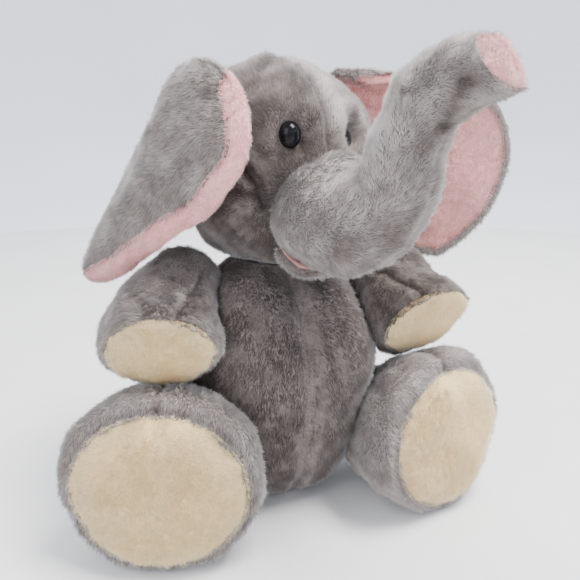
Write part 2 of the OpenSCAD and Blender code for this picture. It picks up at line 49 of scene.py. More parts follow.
MOST_FIBRES = 49500   # in one piece of pile
BATCH = 4000          # points measured at once, to spare memory
scene = bpy.context.scene

# ------------------------------------------------------------------ camera
camera_data = bpy.data.cameras.new("view_camera")
camera = bpy.data.objects.new("view_camera", camera_data)
scene.collection.objects.link(camera)
scene.camera = camera
CAMERA_AT = Vector((-0.1007, -0.2965, 0.1948))
LOOK_AT = Vector((0.005, -0.006, 0.112))
camera.location = CAMERA_AT
camera.rotation_euler = (LOOK_AT - CAMERA_AT).to_track_quat("-Z", "Y").to_euler()
camera_data.sensor_width = 36.0
camera_data.lens = 37.0
camera_data.shift_y = 0.0103
camera_data.clip_start = 0.01
camera_data.clip_end = 20.0


# ------------------------------------------------------------------ vectors and curves
def unit(v):
    v = np.asarray(v, float)
    n = np.linalg.norm(v, axis=-1, keepdims=True)
    return v / np.maximum(n, 1e-9)


def curve(stations, t):
    P = np.asarray(stations, float)
    n = len(P) - 1
    s = min(max(t, 0.0), 1.0) * n
    i = min(int(math.floor(s)), n - 1)
    f = s - i
    a, b, c, d = P[max(i - 1, 0)], P[i], P[i + 1], P[min(i + 2, n)]
    return (b + (c - a) * f / 2 + (a - 2.5 * b + 2 * c - 0.5 * d) * f * f
            + (1.5 * (b - c) + 0.5 * (d - a)) * f ** 3)


def smooth(x, lo, hi):
    t = np.clip((np.asarray(x, float) - lo) / (hi - lo), 0, 1)
    return t * t * (3 - 2 * t)


def bell(d, w):
    return np.exp(-(np.asarray(d, float) / w) ** 2)


def around(turns):
    return 2 * math.pi * np.arange(turns) / turns


def turn_z(P, deg):
    a = math.radians(deg)
    P = np.asarray(P, float)
    out = P.copy()
    out[..., 0] = P[..., 0] * math.cos(a) - P[..., 1] * math.sin(a)
    out[..., 1] = P[..., 0] * math.sin(a) + P[..., 1] * math.cos(a)
    return out


HEAD_TURN = 11.0
HEAD_C = np.array([0.0, 4.0, 181.0])
HEAD_R = 52.0


def head_place(P):
    return turn_z(P, HEAD_TURN) + HEAD_C


def head_local(P):
    return turn_z(np.asarray(P, float) - HEAD_C, -HEAD_TURN)


def flip(P):
    return np.asarray(P, float) * np.array([-1.0, 1.0, 1.0])


def out_of(P, centre, r):
    """Points inside a ball are moved out to its surface."""
    v = P - np.asarray(centre, float)
    d = np.linalg.norm(v, axis=-1, keepdims=True)
    return np.where(d < r, np.asarray(centre, float) + v / np.maximum(d, 1e-9) * r, P)


class Noise:
    """Smooth seeded noise: a sum of waves, for vectors or single values."""

    def __init__(self, seed, size, count=26, parts=3):
        g = np.random.default_rng(seed)
        k = unit(g.normal(size=(count, 3))) / size * 2 * math.pi
        self.k = k * g.uniform(0.5, 1.3, (count, 1))
        self.p = g.uniform(0, 2 * math.pi, (count, parts))
        self.s = math.sqrt(2.0 / count)

    def __call__(self, P):
        w = P @ self.k.T
        return np.sin(w[:, :, None] + self.p[None]).sum(1) * self.s


# ------------------------------------------------------------------ mesh helpers
def make(name, V, F, material):
    mesh = bpy.data.meshes.new(name)
    mesh.from_pydata((np.asarray(V, float) * MM).tolist(), [], [tuple(int(i) for i in f) for f in F])
    mesh.polygons.foreach_set("use_smooth", [True] * len(mesh.polygons))
    mesh.update()
    ob = bpy.data.objects.new(name, mesh)
    scene.collection.objects.link(ob)
    mesh.materials.append(material)
    return ob


def grid_faces(rows, turns, start=0, wrap=True):
    F = []
    m = turns if wrap else turns - 1
    for i in range(rows - 1):
        for j in range(m):
            a = start + i * turns + j
            b = start + i * turns + (j + 1) % turns
            F.append((a, b, b + turns, a + turns))
    return F


def closed_tube(grid):
    """Closed surface from rings of points: an end point at each end."""
    rows, turns = grid.shape[:2]
    V = np.concatenate([grid.reshape(-1, 3), grid[0].mean(0)[None], grid[-1].mean(0)[None]])
    F = grid_faces(rows, turns)
    k = rows * turns
    F += [((j + 1) % turns, j, k) for j in range(turns)]
    F += [((rows - 1) * turns + j, (rows - 1) * turns + (j + 1) % turns, k + 1) for j in range(turns)]
    return V, F


def tris_of(F):
    T = []
    for f in F:
        T.append((f[0], f[1], f[2]))
        if len(f) == 4:
            T.append((f[0], f[2], f[3]))
    return np.array(T, int)


def normals_of(V, T):
    n = np.cross(V[T[:, 1]] - V[T[:, 0]], V[T[:, 2]] - V[T[:, 0]])
    N = np.zeros_like(V)
    for k in range(3):
        np.add.at(N, T[:, k], n)
    return unit(N)


def used_by(V, F, keep):
    """The vertices of the faces whose vertices are all kept."""
    used = np.zeros(len(V), bool)
    for f in F:
        if all(keep[i] for i in f):
            used[list(f)] = True
    return used


def subset(V, F, keep):
    """The faces whose vertices are all kept, with their own vertex list."""
    used = used_by(V, F, keep)
    new = np.cumsum(used) - 1
    return V[used], [tuple(int(new[i]) for i in f) for f in F if all(keep[i] for i in f)]


def turned(F):
    """The same faces, facing the other way."""
    return [tuple(reversed(f)) for f in F]


def facing_out(V, F):
    """The faces of a closed surface, turned round if they point inwards."""
    T = tris_of(F)
    D = V - V.mean(0)
    volume = np.einsum("ij,ij->i", D[T[:, 0]], np.cross(D[T[:, 1]], D[T[:, 2]])).sum()
    return turned(F) if volume < 0 else F


def two_sided(outer, under, F):
    """A closed sheet: its outer side, its under side, and the faces that join their edges."""
    n = len(outer)
    sheet = list(F) + [tuple(i + n for i in f) for f in turned(F)]
    edges = [(a, b) for f in F for a, b in zip(f, f[1:] + f[:1])]
    known = set(edges)
    sheet += [(b, a, a + n, b + n) for a, b in edges if (b, a) not in known]
    return np.concatenate([outer, under]), sheet


def ring_index(rows, turns):
    """The ring of each vertex of a closed tube."""
    return np.concatenate([np.repeat(np.arange(rows), turns), [0, rows - 1]])


def distance_to_points(P, Q):
    """From each point of P to the nearest point of Q."""
    out = np.zeros(len(P))
    for k in range(0, len(P), BATCH):
        q = P[k:k + BATCH]
        out[k:k + BATCH] = np.sqrt(((q[:, None, :] - Q[None]) ** 2).sum(2)).min(1)
    return out


def relax(V, F, pins, pressure, cap, seed, stretch=0.0):
    """Cloth simulation under a little inner pressure; points move cap millimetres at most."""
    ob = make("sim_tmp", V, F, blank)
    group = ob.vertex_groups.new(name="pin")
    idx = [int(i) for i in np.nonzero(pins > 0)[0]]
    for i in idx:
        group.add([i], float(min(1.0, pins[i])), "REPLACE")
    mod = ob.modifiers.new("cloth", "CLOTH")
    s = mod.settings
    s.quality = 5
    s.mass = 0.25
    s.tension_stiffness = 12
    s.compression_stiffness = 12
    s.shear_stiffness = 4
    s.bending_stiffness = 0.4
    s.use_pressure = True
    s.uniform_pressure_force = pressure
    s.shrink_min = -stretch
    s.vertex_group_mass = "pin"
    s.effector_weights.gravity = 0
    mod.collision_settings.use_collision = False
    scene.frame_start = 1
    scene.frame_end = 20
    for f in range(1, 21):
        scene.frame_set(f)
    dg = bpy.context.evaluated_depsgraph_get()
    e = ob.evaluated_get(dg).to_mesh()
    W = np.empty(len(e.vertices) * 3)
    e.vertices.foreach_get("co", W)
    W = W.reshape(-1, 3) / MM
    ob.evaluated_get(dg).to_mesh_clear()
    scene.frame_set(1)
    mesh = ob.data
    bpy.data.objects.remove(ob)
    bpy.data.meshes.remove(mesh)
    d = np.nan_to_num(W - V)
    n = np.linalg.norm(d, axis=1, keepdims=True)
    d = d * np.minimum(1, 2 * cap / np.maximum(n, 1e-9))
    E = np.array([(f[k], f[(k + 1) % len(f)]) for f in F for k in range(len(f))], int)
    held = (pins < 0.5)[:, None]
    for _ in range(14):
        acc, cnt = np.zeros_like(d), np.zeros((len(d), 1))
        for a, b in ((0, 1), (1, 0)):
            for k in range(3):
                acc[:, k] += np.bincount(E[:, a], d[E[:, b], k], len(d))
            cnt[:, 0] += np.bincount(E[:, a], minlength=len(d))
        d = (0.4 * d + 0.6 * acc / np.maximum(cnt, 1)) * held
    n = np.linalg.norm(d, axis=1, keepdims=True)
    return V + d * np.minimum(1, cap / np.maximum(n, 1e-9))


# ------------------------------------------------------------------ materials
def new_material(name):
    m = bpy.data.materials.new(name)
    m.use_nodes = True
    nt = m.node_tree
    nt.nodes.clear()
    out = nt.nodes.new("ShaderNodeOutputMaterial")
    b = nt.nodes.new("ShaderNodeBsdfPrincipled")
    nt.links.new(b.outputs[0], out.inputs[0])
    return m, nt, b


def add(nt, kind, **values):
    n = nt.nodes.new(kind)
    for k, v in values.items():
        setattr(n, k, v)
    return n


def noise_node(nt, scale, detail=3.0, rough=0.55):
    c = add(nt, "ShaderNodeTexCoord")
    n = add(nt, "ShaderNodeTexNoise")
    n.inputs["Scale"].default_value = scale
    n.inputs["Detail"].default_value = detail
    n.inputs["Roughness"].default_value = rough
    nt.links.new(c.outputs["Object"], n.inputs["Vector"])
    return n


def ramp(nt, source, stops):
    r = add(nt, "ShaderNodeValToRGB")
    e = r.color_ramp.elements
    while len(e) < len(stops):
        e.new(0.5)
    for k, (p, c) in enumerate(stops):
        e[k].position = p
        e[k].color = (*c, 1)
    nt.links.new(source, r.inputs[0])
    return r


def mixed(nt, kind, fac, a, b):
    m = add(nt, "ShaderNodeMix", data_type="RGBA", blend_type=kind)
    for sock, val in ((m.inputs[0], fac), (m.inputs[6], a), (m.inputs[7], b)):
        if hasattr(val, "is_output"):
            nt.links.new(val, sock)
        else:
            sock.default_value = val if not isinstance(val, tuple) else (*val, 1)
    return m.outputs[2]


def mottle(nt, b, socket, noise, low, high):
    """A socket that wanders between two colours with the noise."""
    nt.links.new(ramp(nt, noise.outputs[0], [low, high]).outputs[0], b.inputs[socket])


def srgb(r, g, b):
    return tuple(((c / 255) / 12.92 if c / 255 <= 0.04045 else ((c / 255 + 0.055) / 1.055) ** 2.4)
                 for c in (r, g, b))


def cloth_material(name, dark, light, sheen=0.25, bump=0.25):
    """The knitted backing that shows between the pile: mottled, matt, finely bumpy."""
    m, nt, b = new_material(name)
    big = noise_node(nt, 55, 4)
    fine = noise_node(nt, 900, 2, 0.7)
    base = ramp(nt, big.outputs[0], [(0.3, dark), (0.72, light)])
    speck = ramp(nt, fine.outputs[0], [(0.3, (0.72, 0.72, 0.72)), (0.7, (1.15, 1.15, 1.15))])
    nt.links.new(mixed(nt, "MULTIPLY", 1.0, base.outputs[0], speck.outputs[0]), b.inputs["Base Color"])
    b.inputs["Roughness"].default_value = 0.92
    b.inputs["Specular IOR Level"].default_value = 0.15
    b.inputs["Sheen Weight"].default_value = sheen
    b.inputs["Sheen Roughness"].default_value = 0.5
    bp = add(nt, "ShaderNodeBump")
    bp.inputs["Strength"].default_value = bump
    bp.inputs["Distance"].default_value = 0.0006
    nt.links.new(fine.outputs[0], bp.inputs["Height"])
    nt.links.new(bp.outputs[0], b.inputs["Normal"])
    return m


def pile_material(name, dark, mid, light, root=0.84, sheen=0.5):
    """Fibres: each one its own tone, with painted shade at the root and a painted highlight at the tip, and
    wider patches of painted sheen and shade where the nap is brushed.
    """
    m, nt, b = new_material(name)
    tone = add(nt, "ShaderNodeAttribute", attribute_name="tone")
    tip = add(nt, "ShaderNodeAttribute", attribute_name="tip")
    col = ramp(nt, tone.outputs["Fac"], [(0.0, dark), (0.5, mid), (1.0, light)])
    # painted shade darkens each fibre towards its root; a painted highlight lightens its tip
    shade = ramp(nt, tip.outputs["Fac"], [(0.0, (root, root, root)), (0.55, (0.95, 0.95, 0.95)),
                                           (1.0, (1.08, 1.08, 1.08))])
    # painted sheen and shade: wide patches lighter or darker, as where the nap is brushed another way
    painted_sheen_noise = noise_node(nt, 40, 3)
    painted_sheen_ramp = ramp(nt, painted_sheen_noise.outputs[0], [(0.3, (0.86, 0.86, 0.87)), (0.7, (1.10, 1.09, 1.08))])
    c = mixed(nt, "MULTIPLY", 1.0, col.outputs[0], shade.outputs[0])
    nt.links.new(mixed(nt, "MULTIPLY", 1.0, c, painted_sheen_ramp.outputs[0]), b.inputs["Base Color"])
    b.inputs["Roughness"].default_value = 0.7
    b.inputs["Specular IOR Level"].default_value = 0.2
    b.inputs["Sheen Weight"].default_value = sheen
    b.inputs["Sheen Roughness"].default_value = 0.4
    return m


blank = bpy.data.materials.new("blank")
GREY = (srgb(78, 69, 65), srgb(150, 140, 135), srgb(196, 188, 184))
GREY_BACK = (srgb(104, 95, 90), srgb(128, 119, 114))
PINK = (srgb(206, 118, 114), srgb(246, 178, 175), srgb(255, 208, 204))
PINK_BACK = (srgb(226, 162, 158), srgb(238, 182, 178))
CREAM = (srgb(240, 202, 140), srgb(252, 222, 166), srgb(255, 236, 190))
CREAM_BACK = (srgb(232, 198, 146), srgb(242, 212, 164))
mat_grey = pile_material("grey_pile", *GREY)
mat_grey_back = cloth_material("grey_backing", *GREY_BACK)
mat_pink = pile_material("pink_pile", *PINK, root=0.72)
mat_pink_back = cloth_material("pink_backing", *PINK_BACK)
mat_cream = pile_material("cream_pile", *CREAM, root=0.72)
mat_cream_back = cloth_material("cream_backing", *CREAM_BACK)
mat_tuft = pile_material("tuft_pile", srgb(80, 74, 72), srgb(118, 110, 106), srgb(150, 142, 138))
mat_thread = cloth_material("thread", srgb(92, 86, 82), srgb(124, 117, 112), 0.1, 0.5)
mat_seat = cloth_material("seat_cloth", srgb(84, 78, 75), srgb(112, 105, 101), 0.2, 0.5)

mat_eye, nt_eye, b_eye = new_material("eye_gloss")
n_eye = noise_node(nt_eye, 260, 3)
mottle(nt_eye, b_eye, "Base Color", n_eye, (0.3, (0.004, 0.004, 0.005)), (0.8, (0.011, 0.010, 0.012)))
mottle(nt_eye, b_eye, "Roughness", n_eye, (0.2, (0.05, 0.05, 0.05)), (0.9, (0.11, 0.11, 0.11)))
b_eye.inputs["Specular IOR Level"].default_value = 0.10
b_eye.inputs["Coat Weight"].default_value = 0.05
b_eye.inputs["Coat Roughness"].default_value = 0.03


# ------------------------------------------------------------------ pile
def pile(name, V, F, material, seed, per_mm2, length, width, lean, comb, body=None, slot=None,
         factor=None, tone=None, clump=0.34, mask=None):
    """Standing fibres over a surface: thin closed needles that lean the way the pile is brushed.
    comb(points, normals) gives the brushed direction, factor(points) the share of the full length,
    tone(points) shifts the colour."""
    g = np.random.default_rng(seed)
    T = tris_of(F)
    N = normals_of(V, T)
    a, b, c = V[T[:, 0]], V[T[:, 1]], V[T[:, 2]]
    sizes = np.linalg.norm(np.cross(b - a, c - a), axis=1) / 2
    wanted = sizes.sum() * per_mm2
    count = int(min(wanted, MOST_FIBRES))
    if wanted > MOST_FIBRES:
        width *= math.sqrt(wanted / MOST_FIBRES)
    pick = g.choice(len(T), count, p=sizes / sizes.sum())
    r1, r2 = np.sqrt(g.random(count)), g.random(count)
    w = np.stack([1 - r1, r1 * (1 - r2), r1 * r2], 1)
    P = (V[T[pick]] * w[:, :, None]).sum(1)
    n = unit((N[T[pick]] * w[:, :, None]).sum(1))
    if mask is not None:
        stay = (mask[T[pick]] * w).sum(1) > 0
        P, n = P[stay], n[stay]
        count = len(P)
    flow = comb(P, n)
    flow = flow - n * (flow * n).sum(1, keepdims=True)
    flow = unit(flow)
    wave = Noise(seed + 11, 14.0)(P)
    wave2 = Noise(seed + 12, 4.5)(P)
    d = n + flow * lean + wave * 0.30 * clump + wave2 * 0.34 * clump + g.normal(size=P.shape) * 0.14
    d = unit(d)
    L = length * (0.72 + 0.45 * g.random(count)) * (1 + 0.12 * wave2[:, 0])
    if factor is not None:
        k = factor(P)
        keep = k > 0.04
        P, n, d, flow, wave, wave2 = P[keep], n[keep], d[keep], flow[keep], wave[keep], wave2[keep]
        L = L[keep] * k[keep]
    count = len(P)
    up = unit(np.cross(d, n) + 1e-4)
    side = unit(np.cross(d, up))
    half = width / 2 * (0.75 + 0.5 * g.random(count))[:, None]
    base = P - d * 0.5
    corners = [base + (up * math.cos(q) + side * math.sin(q)) * half for q in (0.5, 2.594, 4.689)]
    bend = g.normal(size=P.shape) * 0.12 + flow * 0.12
    X = np.stack(corners + [P + (d + bend) * L[:, None]], 1).reshape(-1, 3)
    X[:, 2] = np.maximum(X[:, 2], 0.15)
    i = np.arange(count)[:, None] * 4
    tri = np.concatenate([i + [0, 1, 3], i + [1, 2, 3], i + [2, 0, 3], i + [2, 1, 0]], 1).reshape(-1)
    mesh = bpy.data.meshes.new(name)
    nt = len(tri) // 3
    mesh.vertices.add(len(X))
    mesh.vertices.foreach_set("co", (X * MM).astype(np.float32).ravel())
    mesh.loops.add(len(tri))
    mesh.loops.foreach_set("vertex_index", tri.astype(np.int32))
    mesh.polygons.add(nt)
    mesh.polygons.foreach_set("loop_start", np.arange(0, nt * 3, 3, dtype=np.int32))
    mesh.polygons.foreach_set("loop_total", np.full(nt, 3, dtype=np.int32))
    mesh.polygons.foreach_set("use_smooth", np.ones(nt, bool))
    mesh.update(calc_edges=True)
    tn = np.clip(0.5 + 0.09 * g.normal(size=count) + 0.05 * wave2[:, 1] + 0.10 * wave[:, 2]
                 + (tone(P) if tone is not None else 0), 0, 1)
    at = mesh.attributes.new("tone", "FLOAT", "POINT")
    at.data.foreach_set("value", np.repeat(tn, 4).astype(np.float32))
    at = mesh.attributes.new("tip", "FLOAT", "POINT")
    at.data.foreach_set("value", np.tile([0.0, 0.0, 0.0, 1.0], count).astype(np.float32))
    blend_n = unit(np.repeat(n, 4, 0) + unit(X - np.repeat(base, 4, 0)) * 0.22)
    mesh.normals_split_custom_set_from_vertices(blend_n.tolist())
    ob = bpy.data.objects.new(name, mesh)
    scene.collection.objects.link(ob)
    mesh.materials.append(material)
    if body:
        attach(ob, body)
    return ob


def skin(name, V, F, material, slot, nodes, body=None, fill=0.85):
    """A skin that stands for its CAD nodes."""
    ob = make(name, V, F, material)
    if body:
        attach(ob, body)
    if nodes:
        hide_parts(*nodes)
    return ob


def brushed(*direction):
    """Pile brushed one way all over."""
    v = np.array(direction, float)
    return lambda P, n: np.broadcast_to(v, P.shape).copy()


def groove(d, depth, wide):
    return -depth * bell(d, wide)


# ------------------------------------------------------------------ body
ARM_X, ARM_W = 50.0, 57.0
SHOULDER = np.array([50.0, 0.0, 123.0])
HIP = np.array([54.0, 4.0, 35.0])
LEG_W, SPLAY = 92.0, 20.0
BH, BW, BD = 138.0, 106.0, 102.0
arm_stations = [[ARM_X, 0, 123, 18, 18], [ARM_X + 8, -8, 113, ARM_W * 0.41, 22],
                [ARM_X + 14, -18, 105.5, ARM_W * 0.48, 23.5],
                [ARM_X + 18.5, -28.5, 101, ARM_W / 2, 23.5], [ARM_X + 20.5, -38, 99.5, ARM_W * 0.47, 21.5]]
LEG_D = np.array([math.sin(math.radians(SPLAY)), -math.cos(math.radians(SPLAY)), 0])


def leg_station(reach, rise, wide, high):
    c = HIP + LEG_D * reach + np.array([0, 0, rise])
    return [*c, wide, high]


leg_stations = [leg_station(0, 0, 26, 26), leg_station(14, 0, 30, 27.5),
                leg_station(28, 0.5, LEG_W * 0.41, 30), leg_station(41, 3, LEG_W * 0.475, 36.5),
                leg_station(52, 5.2, LEG_W / 2, 39.8), leg_station(60, 6.0, LEG_W * 0.49, 39),
                leg_station(66, 6.6, LEG_W * 0.45, 36.2)]
body_stations = [[0, 7, 0, 24, 23], [0, 6, .06 * BH, BW * .29, BD * .30],
                 [0, 5, .15 * BH, BW * .355, BD * .39], [0, 3, .28 * BH, BW * .41, BD * .455],
                 [0, 1, .43 * BH, BW * .47, BD * .495],
                 [0, 0, .57 * BH, BW * .50, BD * .50], [0, 1, .70 * BH, BW * .485, BD * .46],
                 [0, 2, .82 * BH, BW * .41, BD * .36], [0, 4, .91 * BH, BW * .30, BD * .25],
                 [0, 4, .97 * BH, BW * .19, BD * .18], [0, 4, BH, 3, 3]]


def torso_grid(rows, turns):
    G = np.zeros((rows, turns, 3))
    th = around(turns)
    for i in range(rows):
        s = curve(body_stations, i / (rows - 1))
        G[i] = np.stack([s[0] + s[3] * np.cos(th), s[1] + s[4] * np.sin(th), np.full(turns, s[2])], 1)
    return G


def build_torso():
    rows, turns = 66, 112
    V, F = closed_tube(torso_grid(rows, turns))
    V[-2] = [0, 7, 0]
    seam_x = np.abs(V[:, 0])
    pins = ((V[:, 2] < 6) | (seam_x < 1.6)) * 1.0
    V = relax(V, F, pins, 3.0, 2.2, 1, 0.03)
    N = normals_of(V, tris_of(F))
    wob = Noise(5, 46.0, parts=1)(V)[:, 0] * 0.9 + Noise(6, 19.0, parts=1)(V)[:, 0] * 0.35
    side_seam = np.abs(V[:, 1] - 4)
    depth = groove(seam_x, 3.2, 2.4) + groove(side_seam, 0.9, 2.4) * (V[:, 2] > 30)
    edge = smooth(V[:, 2], 1, 12)
    V = V + N * ((wob + depth - INSET) * edge)[:, None]
    V[:, 2] = np.maximum(V[:, 2], 0.0)
    V[:, 0] += np.sign(V[:, 0]) * 3.0 * bell(V[:, 2] - 126, 9) * smooth(np.abs(V[:, 0]), 8, 24)
    for c, r in ((HEAD_C, HEAD_R + 1.0), (SHOULDER, 19.2), (flip(SHOULDER), 19.2), (HIP, 27.6),
                 (flip(HIP), 27.6), (HIP + LEG_D * 16, 31.4), (flip(HIP + LEG_D * 16), 31.4),
                 (HIP + LEG_D * 32, 37.4), (flip(HIP + LEG_D * 32), 37.4),
                 (np.array([0, 51.0, 26.0]), 6.8)):
        V = out_of(V, c, r)
    for s in arm_stations:
        for c in (np.array(s[:3]), flip(np.array(s[:3]))):
            V = out_of(V, c, (s[3] + s[4]) / 2 + 2.2)
    skin("torso_skin", V, F, mat_grey_back, "grey_plush",
         ["torso_front_left", "torso_front_right", "torso_back_left", "torso_back_right",
          "torso_stuffing"], "torso", 0.9)
    hide = lambda P: np.maximum(np.linalg.norm(P - HEAD_C, axis=1) < HEAD_R + 2.3, P[:, 2] < 1.0)
    balls = [(SHOULDER, 20.2), (flip(SHOULDER), 20.2), (HIP, 28.8), (flip(HIP), 28.8)]

    def fac(P):
        k = 0.06 + 0.94 * smooth(np.abs(P[:, 0]), 0.7, 4.0)
        k *= 0.6 + 0.4 * smooth(np.abs(P[:, 1] - 4), 0, 3)
        for c, r in balls:
            k = k * smooth(np.linalg.norm(P - c, axis=1), r - 0.6, r + 3)
        k = k * (1 - hide(P)) * (0.35 + 0.65 * smooth(P[:, 2], 1, 9))
        return k

    def comb(P, n):
        v = np.zeros_like(P)
        v[:, 2] = -1
        v[:, 0] = np.sign(P[:, 0]) * bell(P[:, 0], 7) * 1.2
        return v

    # painted shade: the front pile darker all over as if shaded by the head, a dark painted line of shade in
    # the centre seam, and a painted highlight along one side of it
    def tone(P):
        return -0.46 - 0.75 * bell(P[:, 0], 1.6) + 0.3 * bell(P[:, 0] - 5, 3.0)

    pile("torso_pile_front", *subset(V, F, V[:, 1] < 5), mat_grey, 101, 3.4, 2.5, 0.36, 0.95, comb,
         "torso", "grey_plush", fac, tone)
    pile("torso_pile_back", *subset(V, F, V[:, 1] > -1), mat_grey, 102, 2.6, 2.7, 0.42, 0.95, comb,
         "torso", "grey_plush", fac)
    th = around(48)
    rings = [(r, 1.6) for r in (1.0, 10, 19.6)] + [(20.4, 0.5)] + [(r, 0.0) for r in (20.0, 14, 7, 1.0)]
    seat = [np.stack([r * np.cos(th), 7 + r * np.sin(th), np.full(48, z)], 1) for r, z in rings]
    Vb, Fb = closed_tube(np.array(seat))
    base = make("torso_seat", Vb, Fb, mat_seat)
    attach(base, "torso")
    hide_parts("torso_base")


BODY_ROWS = np.array([curve(body_stations, q) for q in np.linspace(0, 1, 61)])


def outside_torso(P):
    z = P[:, 2]
    rows = [np.interp(z, BODY_ROWS[:, 2], BODY_ROWS[:, k]) for k in (1, 3, 4)]
    e = np.sqrt((P[:, 0] / rows[1]) ** 2 + ((P[:, 1] - rows[0]) / rows[2]) ** 2)
    return (e - 1) * np.minimum(rows[1], rows[2])


# ------------------------------------------------------------------ limbs
def limb_grid(c, stations, r, side, turns, root_rows, tube_rows):
    c = np.asarray(c, float)
    d0 = unit(curve(stations, 0.04)[:3] - np.asarray(stations[0][:3], float))
    rows = []
    for a in np.linspace(3, 78, root_rows):
        ar = math.radians(a)
        rows.append((c - d0 * r * math.cos(ar), d0, r * math.sin(ar), r * math.sin(ar), -1.0))
    for t in np.linspace(0, 1, tube_rows):
        s = curve(stations, t)
        e = curve(stations, min(t + .04, 1)) - curve(stations, max(t - .04, 0))
        rows.append((s[:3], unit(e[:3]), s[3], s[4], t))
    G, info = [], []
    th = around(turns)
    for ctr, d, w, h, t in rows:
        s = unit(np.asarray(side, float) - d * np.dot(side, d))
        n = np.cross(d, s)
        G.append(ctr + np.outer(np.cos(th) * w, s) + np.outer(np.sin(th) * h, n))
        info.append((ctr, d, w, h, t))
    return np.array(G), info


def end_cap(info, side, turns, bulge, steps, power=2.0):
    ctr, d, w, h, t = info
    s = unit(np.asarray(side, float) - d * np.dot(side, d))
    n = np.cross(d, s)
    th = around(turns)
    G = []
    for k in steps:
        G.append(ctr + d * bulge * (1 - k ** power) + np.outer(np.cos(th) * w * k, s)
                 + np.outer(np.sin(th) * h * k, n))
    return np.array(G)


def build_limb(tag, c, stations, r, side, mirrored, bulge, skin_nodes, pad_node, pad_name, body, seed,
               turns=88, tube_rows=34, pad_dart=None, density=3.4, seams=(0.0, math.pi), thread=None,
               end_len=2.6, painted_light_shift=0.0, tilt=0.0, crown=0.0, swell=0.0):
    G, info = limb_grid(c, stations, r, side, turns, 12, tube_rows)
    rim = len(G) - 1
    steps = np.array([0.985, 0.955, 0.91, 0.84, 0.75, 0.64, 0.51, 0.37, 0.22, 0.08])
    C = end_cap(info[-1], side, turns, bulge, steps)
    A = np.concatenate([G, C])
    d_end = info[-1][1]
    up = np.cross(d_end, unit(np.asarray(side, float) - d_end * np.dot(side, d_end)))
    for i in range(len(A)):
        k = smooth(i, rim - 14, rim)
        A[i] += d_end * (math.tan(math.radians(tilt)) * k * ((A[i] - A[i].mean(0)) @ up))[:, None]
    V, F = closed_tube(A)
    ring = ring_index(len(A), turns)
    th = np.concatenate([np.tile(around(turns), len(A)), [0, 0]])
    pins = ((ring <= 10) | (np.abs(ring - rim) <= 3)) * 1.0
    V = relax(V, F, pins, 3.0, 2.0, seed, 0.04)
    N = normals_of(V, tris_of(F))
    # rounded rim, side seams, soft unevenness
    dist_rim = np.linalg.norm(V - V[rim * turns + (np.arange(len(V)) % turns)], axis=1)
    dist_rim[:rim * turns] = np.linalg.norm(
        V[:rim * turns].reshape(rim, turns, 3) - V[rim * turns:(rim + 1) * turns][None], axis=2).ravel()
    near = bell(dist_rim, 3.4)
    depth = -0.8 * near
    radius = (info[-1][2] + info[-1][3]) / 2
    for s in seams:
        gap = np.abs((th - s + math.pi) % (2 * math.pi) - math.pi) * radius
        depth = depth + groove(gap, 2.2, 2.2) * (ring < rim) * (ring > 12)
    wob = Noise(seed + 1, 34.0, parts=1)(V)[:, 0] * 0.8 + Noise(seed + 2, 13.0, parts=1)(V)[:, 0] * 0.3
    pucker = near * np.sin(th * 23 + Noise(seed + 3, 20, parts=1)(V)[:, 0] * 1.4) * 0.35
    depth = depth + wob * smooth(ring, 9, 18) + pucker
    out = unit([0.35, -0.15, 0.92])
    depth += swell * bell(ring - 18, 8) * smooth(N @ out, -0.1, 0.7)
    depth += crown * smooth(ring, 12, 22) * smooth(rim - ring, 3, 12) * smooth(N[:, 2], 0.1, 0.8)
    if pad_dart is not None:
        q0, reach = pad_dart
        gap = np.abs((th - q0 + math.pi) % (2 * math.pi) - math.pi)
        k = (ring > rim) * (ring < len(A) - reach)
        depth = depth + groove(gap * radius * 0.9, 1.6, 1.8) * k
    V = V + N * (depth - INSET)[:, None]
    V[:, 2] = np.maximum(V[:, 2], 0.5)
    m = flip if mirrored else np.asarray
    VM = m(V)
    FM = turned(F) if mirrored else F
    # skin: everything up to the rim, closed by a lid under the pad
    lid = V.copy()
    sunk = ring > rim
    lid[sunk] = V[sunk] - N[sunk] * (1.8 * smooth(dist_rim[sunk], 0, 5))[:, None]
    skin(tag + "_skin", m(lid), FM, mat_grey_back, "grey_plush", skin_nodes, body, 0.9)
    # pad: outer dome with an under side
    keep = ring >= rim
    Vo, Fo = subset(V, F, keep)
    No = N[keep]
    Do = dist_rim[keep]
    lift = 0.5 * smooth(Do, 0, 4)
    outer = Vo + No * lift[:, None]
    under = Vo - No * (1.1 * smooth(Do, 0, 4) + 0.02)[:, None]
    Vp, Fp = two_sided(outer, under, Fo)
    FpM = turned(Fp) if mirrored else Fp
    skin(tag + "_" + pad_name + "_skin", m(Vp), FpM, mat_cream_back, "cream_plush", [pad_node], body, 0.9)
    axis = m(unit(info[-1][0] - info[0][0]))
    rim_points = m(V[rim * turns:(rim + 1) * turns])[::2]
    centre = m(info[-1][0])
    seam_lines = []
    for s in seams:
        j = int(round(s / (2 * math.pi) * turns)) % turns
        seam_lines.append(m(V[:(rim + 1) * turns].reshape(rim + 1, turns, 3)[12:, j]))

    def rim_distance(P):
        return distance_to_points(P, rim_points)

    def skin_fac(P):
        k = smooth(outside_torso(P), -1.0, 3.5)
        k = k * (1 + 0.12 * bell(rim_distance(P), 4))
        for L in seam_lines:
            k = k * (0.5 + 0.5 * smooth(distance_to_points(P, L), 0.3, 3.4))
        return k * (0.45 + 0.55 * smooth(P[:, 2], 0.4, 6))

    # painted light: each limb's pile darker or lighter by a shift as it is lit, and painted shade along the
    # side seams
    def skin_tone(P):
        k = np.full(len(P), painted_light_shift)
        for L in seam_lines:
            k = k - 0.45 * bell(distance_to_points(P, L), 1.7)
        return k

